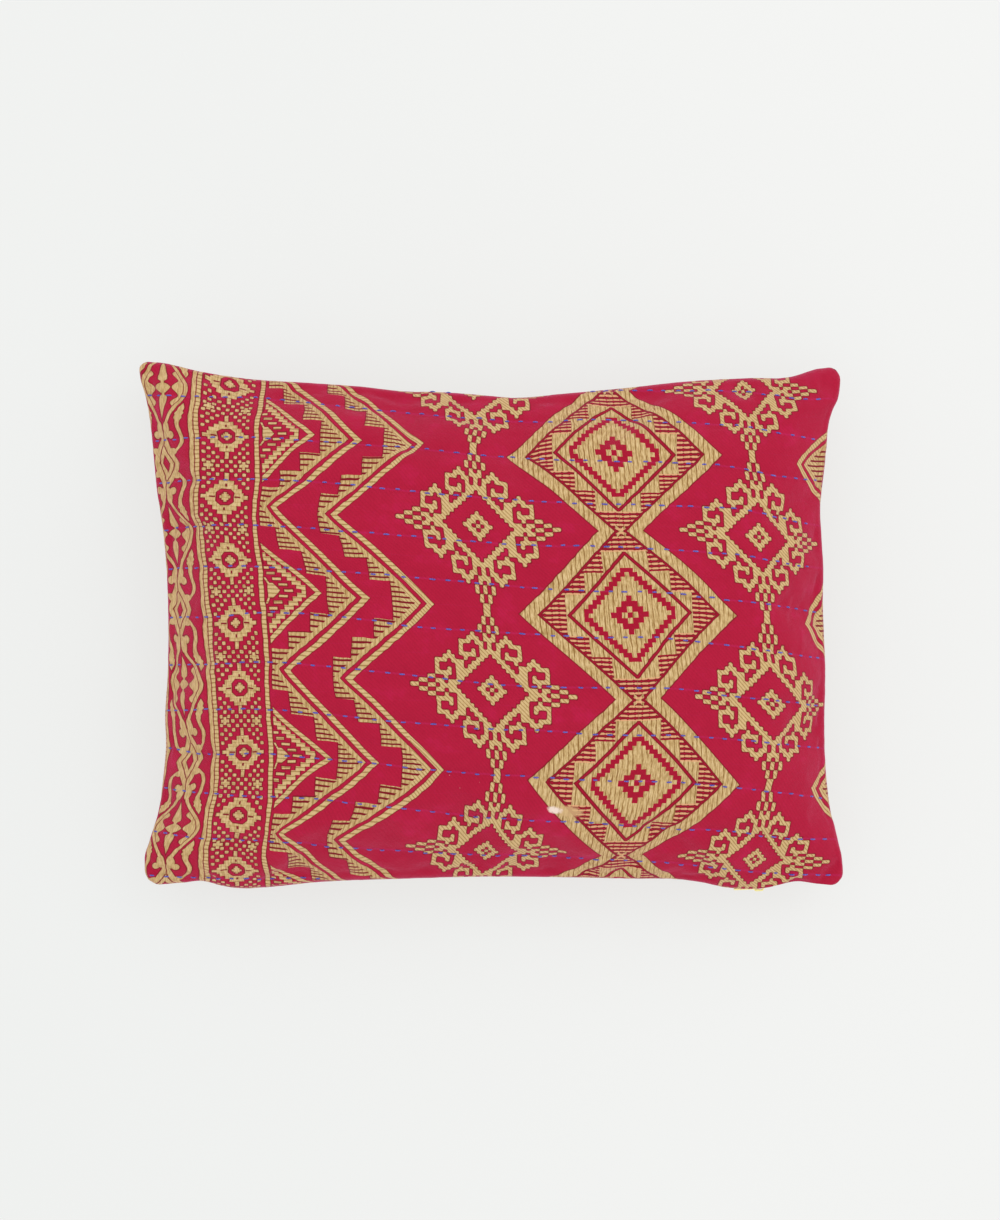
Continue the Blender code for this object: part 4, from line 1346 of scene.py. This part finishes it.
def print_group():
    """The printed ornament at a place on the flat cloth, given in cells.

    It gives the gold, the dark edge round it, the light and shade of its threads, the pink bars
    of the diamonds, and the deeper ground inside the large diamonds.
    """
    tree, given, result = new_group(
        "printed_ornament",
        [("Place", VECTOR, None)],
        [("Gold", FLOAT), ("Edge", FLOAT), ("Shade", FLOAT), ("Pink", FLOAT), ("Deep", FLOAT)],
    )
    place = given.outputs["Place"]
    across, down = split(tree, place)
    # The printing blocks wander a little
    across = across + noise(tree, place, (0.45, 0.45, 1), 1.0) * PRINT_WANDER[0]
    down = down + noise(tree, place, (0.45, 0.45, 2), 1.0) * PRINT_WANDER[1]
    u = LAYOUT_MIRROR - abs(across - LAYOUT_MIRROR)
    u = abs(u - VINE_AXIS) + VINE_AXIS
    # Between two tips the valleys lie high, most of all in the zigzags
    turn = (down * (np.pi / HALF_REPEAT)).math("COSINE") + 1.0
    high = VALLEY_RISE - u.ramp(*RISE_LOST)
    from_valley = folded(down + turn * high, 0.0, 2 * HALF_REPEAT)
    from_tip = HALF_REPEAT - from_valley
    first, hatched = zigzag(u, down, from_valley, *FIRST_ZIGZAG)
    second, also_hatched = zigzag(u, down, from_valley, *SECOND_ZIGZAG)
    hatched = either(hatched, also_hatched)
    small = triangles(u, folded(down, HALF_REPEAT - 0.5, 2 * HALF_REPEAT))
    rope = ((across - down) * (2 * np.pi / THREAD_STEP)).math("SINE")
    rungs = (down * (2 * np.pi / THREAD_STEP)).math("SINE")
    marked = chart(abs(u - STAR_PLACE) * STAR_NARROWING, from_valley, STAR_CHART)
    star = (marked - STAR_SHARE) * STAR_SLOPE + rope * 0.03
    stem = both(stripe(u, STAR_PLACE, 0.75), from_valley - STEM_START)
    star = either(star, stem)
    large, bars = diamonds(LAYOUT_MIRROR - u, from_tip)
    twig = both(vine(u - VINE_AXIS, folded(down, VINE_START, VINE_REPEAT)), VINE_EDGE - u)
    beaded = either(0.52 - abs(u), stripe(u, BEADED_LINE, 0.45))
    plain = stripe(u, PLAIN_LINE, 0.45)
    corner_tip = (across - down - CORNER_TIP) * 0.7
    shape = either(
        first, second, small, star, large, twig, beaded, plain, band(u, down), corner_tip,
    )
    # Light and dark threads of the gold: upright in the diamonds, slanting like rope in the stars
    wander = noise(tree, place, (0.5, 0.06, 1), 2.0)
    lines = ((across + wander * 0.20) * (2 * np.pi / UPRIGHT_STEP)).math("COSINE")
    grain = noise(tree, place, (3.4, 0.55, 1), 2.0, 0.65)
    patchy = noise(tree, place, (1.1, 0.16, 1), 1.0) * 1.5 + 0.8
    upright = grain * 1.7 + 0.12 - lines.ramp(0.50, 0.98) * patchy * 0.95
    in_diamonds = (u - DIAMONDS_START).over(0.0) * (large + 0.05).over(0.0)
    on_beads = (beaded + 0.3).over(0.0)
    on_star = abs(u - STAR_PLACE).under(STAR_REACH) * (star + 0.5).over(0.0)
    # A narrow dark line parts one bead of thread from the next
    beads, slanting = (
        0.26 - wave.ramp(0.35, 0.98) * 0.85 + grain * 0.4 for wave in (rungs, rope)
    )
    in_band = both(u - BAND_GROUND[0], BAND_GROUND[1] - u).over(0.0)
    plain_threads = either(u.under(DOUBLE_LINE), hatched.over(0.1), in_band)
    stripes = beads + (grain * 1.1 + 0.08 + beads * in_band * 0.35 - beads) * plain_threads
    # Upright threads show faintly across the bars of the hatched blocks
    columns = (u * (2 * np.pi / THREAD_STEP)).math("SINE")
    stripes = stripes - columns.ramp(0.2, 0.98) * hatched.over(0.1) * 0.5
    stripes = stripes + (slanting - stripes) * on_star
    shade = stripes + (upright - stripes) * in_diamonds
    shade = shade + (beads * 1.1 - shade) * on_beads
    dark_gaps = both(hatched, HATCH_GAP - folded(down, 0.0, HATCH)).ramp(-0.04, 0.06)
    inside_diamond = DIAMOND_GROUND - from_tip * 1.04 - LAYOUT_MIRROR + u
    for name, number in (
        ("Gold", shape.ramp(-0.06, 0.08)),
        ("Edge", either(shape.ramp(-0.34, -0.12), dark_gaps)),
        ("Shade", shade),
        ("Pink", bars.ramp(-0.05, 0.05)),
        ("Deep", inside_diamond.ramp(-0.5, 0.5)),
    ):
        tree.links.new(number.socket, result.inputs[name])
    return tree


def weave_group():
    """Plain weave: its height for bump, and a tint from thread to thread, partly painted shade."""
    tree, given, result = new_group(
        "plain_weave",
        [("Place", VECTOR, None), ("Threads", FLOAT, 5.0)],
        [("Height", FLOAT), ("Tint", FLOAT)],
    )
    x, y = split(tree, given.outputs["Place"])
    threads = Num(tree, given.outputs["Threads"])
    turn_x, turn_y = x * threads * np.pi, y * threads * np.pi
    along = abs(turn_x.math("SINE"))
    across = abs(turn_y.math("SINE"))
    odd = ((x * threads).floor() + (y * threads).floor()) % 2.0
    height = along + (across - along) * odd
    slubs = noise(tree, given.outputs["Place"], (6.0, 0.5, 1), 2.0)
    slubs = slubs + noise(tree, given.outputs["Place"], (0.5, 6.0, 1), 2.0)
    tree.links.new((height + slubs * 0.5).socket, result.inputs["Height"])
    # Painted shade: the tint is darker where the weave's height is low; the slubs are the yarn's
    # own tone
    tree.links.new((slubs + height * 0.5 - 0.3).socket, result.inputs["Tint"])
    return tree


def use_group(tree, group, links, values=()):
    node = tree.nodes.new("ShaderNodeGroup")
    node.node_tree = group
    for name, socket in links.items():
        tree.links.new(socket, node.inputs[name])
    for name, value in dict(values).items():
        node.inputs[name].default_value = value
    return node


def mixed(tree, share, first, second):
    """A colour between two, each a colour's socket or its red, green and blue."""
    node = tree.nodes.new("ShaderNodeMix")
    node.data_type = "RGBA"
    tree.links.new(share.socket, node.inputs["Factor"])
    for name, value in (("A", first), ("B", second)):
        inputs = [s for s in node.inputs if s.name == name and s.type == "RGBA"][0]
        if isinstance(value, tuple):
            inputs.default_value = (*value, 1)
        else:
            tree.links.new(value, inputs)
    return [s for s in node.outputs if s.type == "RGBA"][0]


def uv_map(tree, name):
    node = tree.nodes.new("ShaderNodeUVMap")
    node.uv_map = name
    return node.outputs["UV"]


def new_material(name, **settings):
    """A material with its shader, whose inputs take the settings named after them."""
    material = bpy.data.materials.new(name)
    material.use_nodes = True
    tree = material.node_tree
    shader = tree.nodes["Principled BSDF"]
    for label, value in settings.items():
        shader.inputs[label.replace("_", " ")].default_value = value
    return material, tree, shader


def add_bump(tree, shader, height, distance, strength=1.0):
    """Relief of the surface, in which a height of 1 stands for a distance in metres."""
    bump = tree.nodes.new("ShaderNodeBump")
    bump.inputs["Distance"].default_value = distance
    bump.inputs["Strength"].default_value = strength
    tree.links.new(height.socket, bump.inputs["Height"])
    tree.links.new(bump.outputs["Normal"], shader.inputs["Normal"])


def srgb(red, green, blue):
    """A colour as it looks on a screen, 0 to 255, as the shader needs it."""
    parts = np.array([red, green, blue]) / 255
    bright = ((parts + 0.055) / 1.055) ** 2.4
    return tuple(np.where(parts <= 0.04045, parts / 12.92, bright).tolist())


CRIMSON = srgb(178, 24, 58)
CRIMSON_DARK = srgb(166, 18, 50)
CRIMSON_MAGENTA = srgb(190, 26, 76)
CRIMSON_DEEP = srgb(158, 14, 40)
MAROON = srgb(112, 8, 22)
ROW_LINE = srgb(190, 40, 110)
GOLD_LIGHT = srgb(220, 192, 144)
GOLD_MIDDLE = srgb(198, 166, 112)
GOLD_DARK = srgb(138, 100, 50)
PINK_GOLD = srgb(222, 160, 118)
PLAIN_GOLD = srgb(206, 170, 120)
WORN = srgb(238, 216, 202)
# The quilting thread's two colours; the darker one also stands for painted shade in the grooves of
# its twist
QUILTING_DARK = srgb(62, 58, 150)
QUILTING_LIGHT = srgb(112, 106, 200)
METAL_DARK = srgb(236, 222, 150)
METAL_LIGHT = srgb(250, 242, 190)
# The zip coil's two colours; the darker one also stands for painted shade between the coil's turns
ZIP_TAPE_DARK = srgb(104, 12, 34)
ZIP_TAPE_LIGHT = srgb(156, 26, 56)

# Heights of relief, in metres
CLOTH_RELIEF = 0.0003
QUILTING_RELIEF = 0.00012
METAL_RELIEF = 0.00002
COIL_RELIEF = 0.0003
# The coil of the zip turns once in this length, in metres
COIL_STEP = 0.0013
# How many threads of the weave cross one cell of the print
THREADS_IN_CELL = 5.4
# How fast the quilting thread twists, in radians to a millimetre
QUILTING_TWIST = 5.5
# Half the width of the line that a row of stitches draws on the cloth, and how much it shows
ROW_LINE_HALF_WIDTH = 0.8
ROW_LINE_SHARE = 0.24

# A small worn spot on the lower part of a diamond, the smear beside it, and specks to their left.
# Columns: cells across and down to the middle, half width, half height
WORN_SPOT = (66.2, 100.75, 2.0, 0.9)
SMEAR = (69.4, 100.65, 3.4, 1.5)
SPECKS = (43.2, 96.5, 5.0, 2.6)
WORN_SLANT = 0.12


def worn_spot(tree, place):
    """How far the cloth is rubbed pale, and how far its gold is smeared smooth beside that."""
    across, down = split(tree, place)
    slanted = down - (across - WORN_SPOT[0]) * WORN_SLANT
    ragged = noise(tree, place, (0.9, 1.3, 1), 3.0, 0.6)
    rubbed = oval(across, slanted, *WORN_SPOT) + ragged * 0.9
    smeared = oval(across, slanted, *SMEAR) + ragged * 0.7
    specks = noise(tree, place, (2.4, 2.4, 5), 0.0).ramp(0.62, 0.72)
    specks = specks * oval(across, down, *SPECKS).ramp(0.0, 0.5)
    return (rubbed.ramp(0.0, 0.7) + specks * 0.6) * 0.9, smeared.ramp(0.0, 0.6) * 0.75


def cloth_material(ornament, weave):
    material, tree, shader = new_material(
        "kantha_cloth", Roughness=0.86, Specular_IOR_Level=0.12, Sheen_Weight=0.45,
        Sheen_Roughness=0.40, Sheen_Tint=(1.0, 0.34, 0.58, 1.0),
    )
    place = uv_map(tree, "cloth")
    printed = use_group(tree, ornament, {"Place": place})
    gold, edge, shade, pink, deep = (Num(tree, socket) for socket in printed.outputs)
    woven = use_group(tree, weave, {"Place": place}, {"Threads": THREADS_IN_CELL})
    height, tint = (Num(tree, socket) for socket in woven.outputs)
    patches = noise(tree, place, (0.10, 0.12, 1), 3.0, 0.6)
    blotches = noise(tree, place, (0.45, 0.5, 1), 2.0)
    # The weave's tint carries painted shade of the weave's hollows into the ground here and into
    # the gold below; patches and blotches are random tone
    uneven = (patches * 0.5 + blotches * 0.3 + tint * 0.3).ramp(-0.5, 0.6)
    ground = mixed(tree, uneven, CRIMSON_DARK, CRIMSON)
    ground = mixed(tree, (patches - blotches * 0.4).ramp(0.1, 0.9), ground, CRIMSON_MAGENTA)
    ground = mixed(tree, deep * 0.75, ground, CRIMSON_DEEP)
    _, gap = split(tree, uv_map(tree, "rows"))
    seen_through = (ROW_LINE_HALF_WIDTH - abs(gap)).ramp(0.0, 0.6) * ROW_LINE_SHARE
    ground = mixed(tree, seen_through, ground, ROW_LINE)
    ground = mixed(tree, edge * 0.9, ground, MAROON)
    dim = (shade + tint * 0.2 + blotches * 0.2).ramp(-0.9, 0.2)
    threads = mixed(tree, dim, GOLD_DARK, GOLD_MIDDLE)
    threads = mixed(tree, (shade + blotches * 0.2).ramp(0.0, 0.9), threads, GOLD_LIGHT)
    threads = mixed(tree, pink * 0.8, threads, PINK_GOLD)
    colour = mixed(tree, gold, ground, threads)
    pale, smeared = worn_spot(tree, place)
    colour = mixed(tree, smeared, colour, PLAIN_GOLD)
    colour = mixed(tree, pale, colour, WORN)
    tree.links.new(colour, shader.inputs["Base Color"])
    crumple = noise(tree, place, (0.8, 0.8, 1), 3.0, 0.55)
    add_bump(tree, shader, height * 0.25 + crumple * 0.75, CLOTH_RELIEF, 0.8)
    return material


def thread_material():
    material, tree, shader = new_material(
        "quilting_thread", Roughness=0.6, Specular_IOR_Level=0.25, Sheen_Weight=0.2,
    )
    place = uv_map(tree, "thread")
    along, angle = split(tree, place)
    twist = (along * QUILTING_TWIST + angle).math("SINE")
    wander = noise(tree, place, (0.25, 0.2, 1), 1.0)
    # Painted shade: the thread is darker in the grooves of its twist, where the relief is low; the
    # wander is the thread's own tone
    share = (twist * 0.5 + wander).ramp(-1.0, 1.0)
    colour = mixed(tree, share, QUILTING_DARK, QUILTING_LIGHT)
    tree.links.new(colour, shader.inputs["Base Color"])
    add_bump(tree, shader, twist, QUILTING_RELIEF)
    return material


def zip_metal_material():
    material, tree, shader = new_material(
        "zip_metal", Metallic=1.0, Specular_IOR_Level=0.5,
    )
    coordinates = tree.nodes.new("ShaderNodeTexCoord").outputs["Object"]
    tarnish = noise(tree, coordinates, (260, 260, 260), 3.0)
    scratches = noise(tree, coordinates, (180, 1400, 900), 2.0)
    colour = mixed(tree, tarnish.ramp(-0.5, 0.7), METAL_DARK, METAL_LIGHT)
    tree.links.new(colour, shader.inputs["Base Color"])
    tree.links.new((scratches.ramp(-0.6, 0.8) * 0.16 + 0.2).socket, shader.inputs["Roughness"])
    add_bump(tree, shader, scratches, METAL_RELIEF)
    return material


def zip_tape_material():
    material, tree, shader = new_material(
        "zip_tape", Roughness=0.5, Specular_IOR_Level=0.35, Sheen_Weight=0.1,
    )
    coordinates = tree.nodes.new("ShaderNodeTexCoord").outputs["Object"]
    along, _ = split(tree, coordinates)
    coil = (along * (2 * np.pi / COIL_STEP)).math("SINE")
    uneven = noise(tree, coordinates, (300, 300, 300), 2.0)
    # Painted shade: the coil is darker between its turns, where the relief is low; the unevenness
    # is its own tone
    share = (coil * 0.8 + uneven * 0.6).ramp(-1.0, 1.0)
    tree.links.new(mixed(tree, share, ZIP_TAPE_DARK, ZIP_TAPE_LIGHT), shader.inputs["Base Color"])
    add_bump(tree, shader, coil, COIL_RELIEF)
    return material


def dress(node, material):
    """Gives a CAD piece that stays in the scene its finish."""
    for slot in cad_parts[node].material_slots:
        slot.material = material


# The floor, the sky, the window light and the camera

FLOOR_HALF_WIDTH = 9.0
FLOOR_GLOW = 0.70
# Colours of the floor's glow, a painted light: dimmer to the left, brighter to the right towards
# the window
FLOOR_PAINTED_LIGHT_LEFT = (0.95, 0.96, 0.94)
FLOOR_PAINTED_LIGHT_RIGHT = (1.0, 1.0, 0.98)
FLOOR_PAINT_DARK = (0.16, 0.162, 0.16)
FLOOR_PAINT_LIGHT = (0.18, 0.182, 0.18)
SKY = (0.97, 0.985, 1.0, 1)
SKY_STRENGTH = 1.15
WINDOW_PLACE = (1.5, 1.3, 1.9)
WINDOW_TARGET = (0, 0, 0.05)
WINDOW_SIZE = 1.6
WINDOW_WATTS = 10
SENSOR_WIDTH = 36


def make_floor():
    mesh = bpy.data.meshes.new("floor")
    half = FLOOR_HALF_WIDTH
    corners = [(-half, -half, 0), (half, -half, 0), (half, half, 0), (-half, half, 0)]
    mesh.from_pydata(corners, [], [(0, 1, 2, 3)])
    floor = make_object("floor", mesh)
    # The studio's floor glows a little, so that shadows on it stay as faint as in the photograph
    material, tree, shader = new_material(
        "pale_floor", Roughness=0.9, Specular_IOR_Level=0.0, Emission_Strength=FLOOR_GLOW,
    )
    coordinates = tree.nodes.new("ShaderNodeTexCoord").outputs["Object"]
    x, y = split(tree, coordinates)
    cloudy = noise(tree, coordinates, (1.2, 1.2, 1), 1.0)
    # Painted light: the glow brightens to the right and up, towards the window, as a pool of its
    # light
    across = x * 0.9 + y * 0.35 + cloudy * 0.1
    glow = mixed(tree, across.ramp(-0.35, 0.35), FLOOR_PAINTED_LIGHT_LEFT, FLOOR_PAINTED_LIGHT_RIGHT)
    tree.links.new(glow, shader.inputs["Emission Color"])
    paint = mixed(tree, cloudy.ramp(-1, 1), FLOOR_PAINT_DARK, FLOOR_PAINT_LIGHT)
    tree.links.new(paint, shader.inputs["Base Color"])
    floor.data.materials.append(material)


def add_window():
    """The one lamp: a large round window light, up and to the right."""
    light = bpy.data.lights.new("window", "AREA")
    light.shape = "DISK"
    light.size = WINDOW_SIZE
    light.energy = WINDOW_WATTS
    window = make_object("window", light)
    window.location = WINDOW_PLACE
    aim = Vector(WINDOW_TARGET) - Vector(WINDOW_PLACE)
    window.rotation_euler = aim.to_track_quat("-Z", "Y").to_euler()


def add_sky():
    world = bpy.data.worlds.new("studio")
    bpy.context.scene.world = world
    world.use_nodes = True
    background = world.node_tree.nodes["Background"]
    background.inputs["Color"].default_value = SKY
    background.inputs["Strength"].default_value = SKY_STRENGTH


def add_camera():
    """The photograph's camera looks straight down, and its picture has the same scale."""
    lens = bpy.data.cameras.new("camera")
    lens.sensor_fit = "HORIZONTAL"
    lens.sensor_width = SENSOR_WIDTH
    photo_width = 2 * PHOTO_CENTRE[0] * PHOTO_MM_PER_PIXEL
    lens.lens = SENSOR_WIDTH * CAMERA_DISTANCE / photo_width
    lens.clip_end = 20
    camera = make_object("camera", lens)
    x, y = np.array(CAMERA_PLACE) + SHIFT[:2]
    camera.location = (x * MM, y * MM, (SEAM_HEIGHT + CAMERA_DISTANCE) * MM)
    bpy.context.scene.camera = camera


def main():
    make_floor()
    add_sky()
    add_window()
    bpy.context.scene.view_settings.view_transform = "Standard"
    add_camera()
    ornament, weave = print_group(), weave_group()
    cover, cushion, walks = make_cushion()
    cover.data.materials.append(cloth_material(ornament, weave))
    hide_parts("cushion")
    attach(cover, "root")
    stitches = make_stitches(cushion, walks)
    stitches.data.materials.append(thread_material())
    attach(stitches, "root")
    metal = zip_metal_material()
    dress("zip_slider", metal)
    dress("zip_pull", metal)
    dress("zip_chain", zip_tape_material())


main()
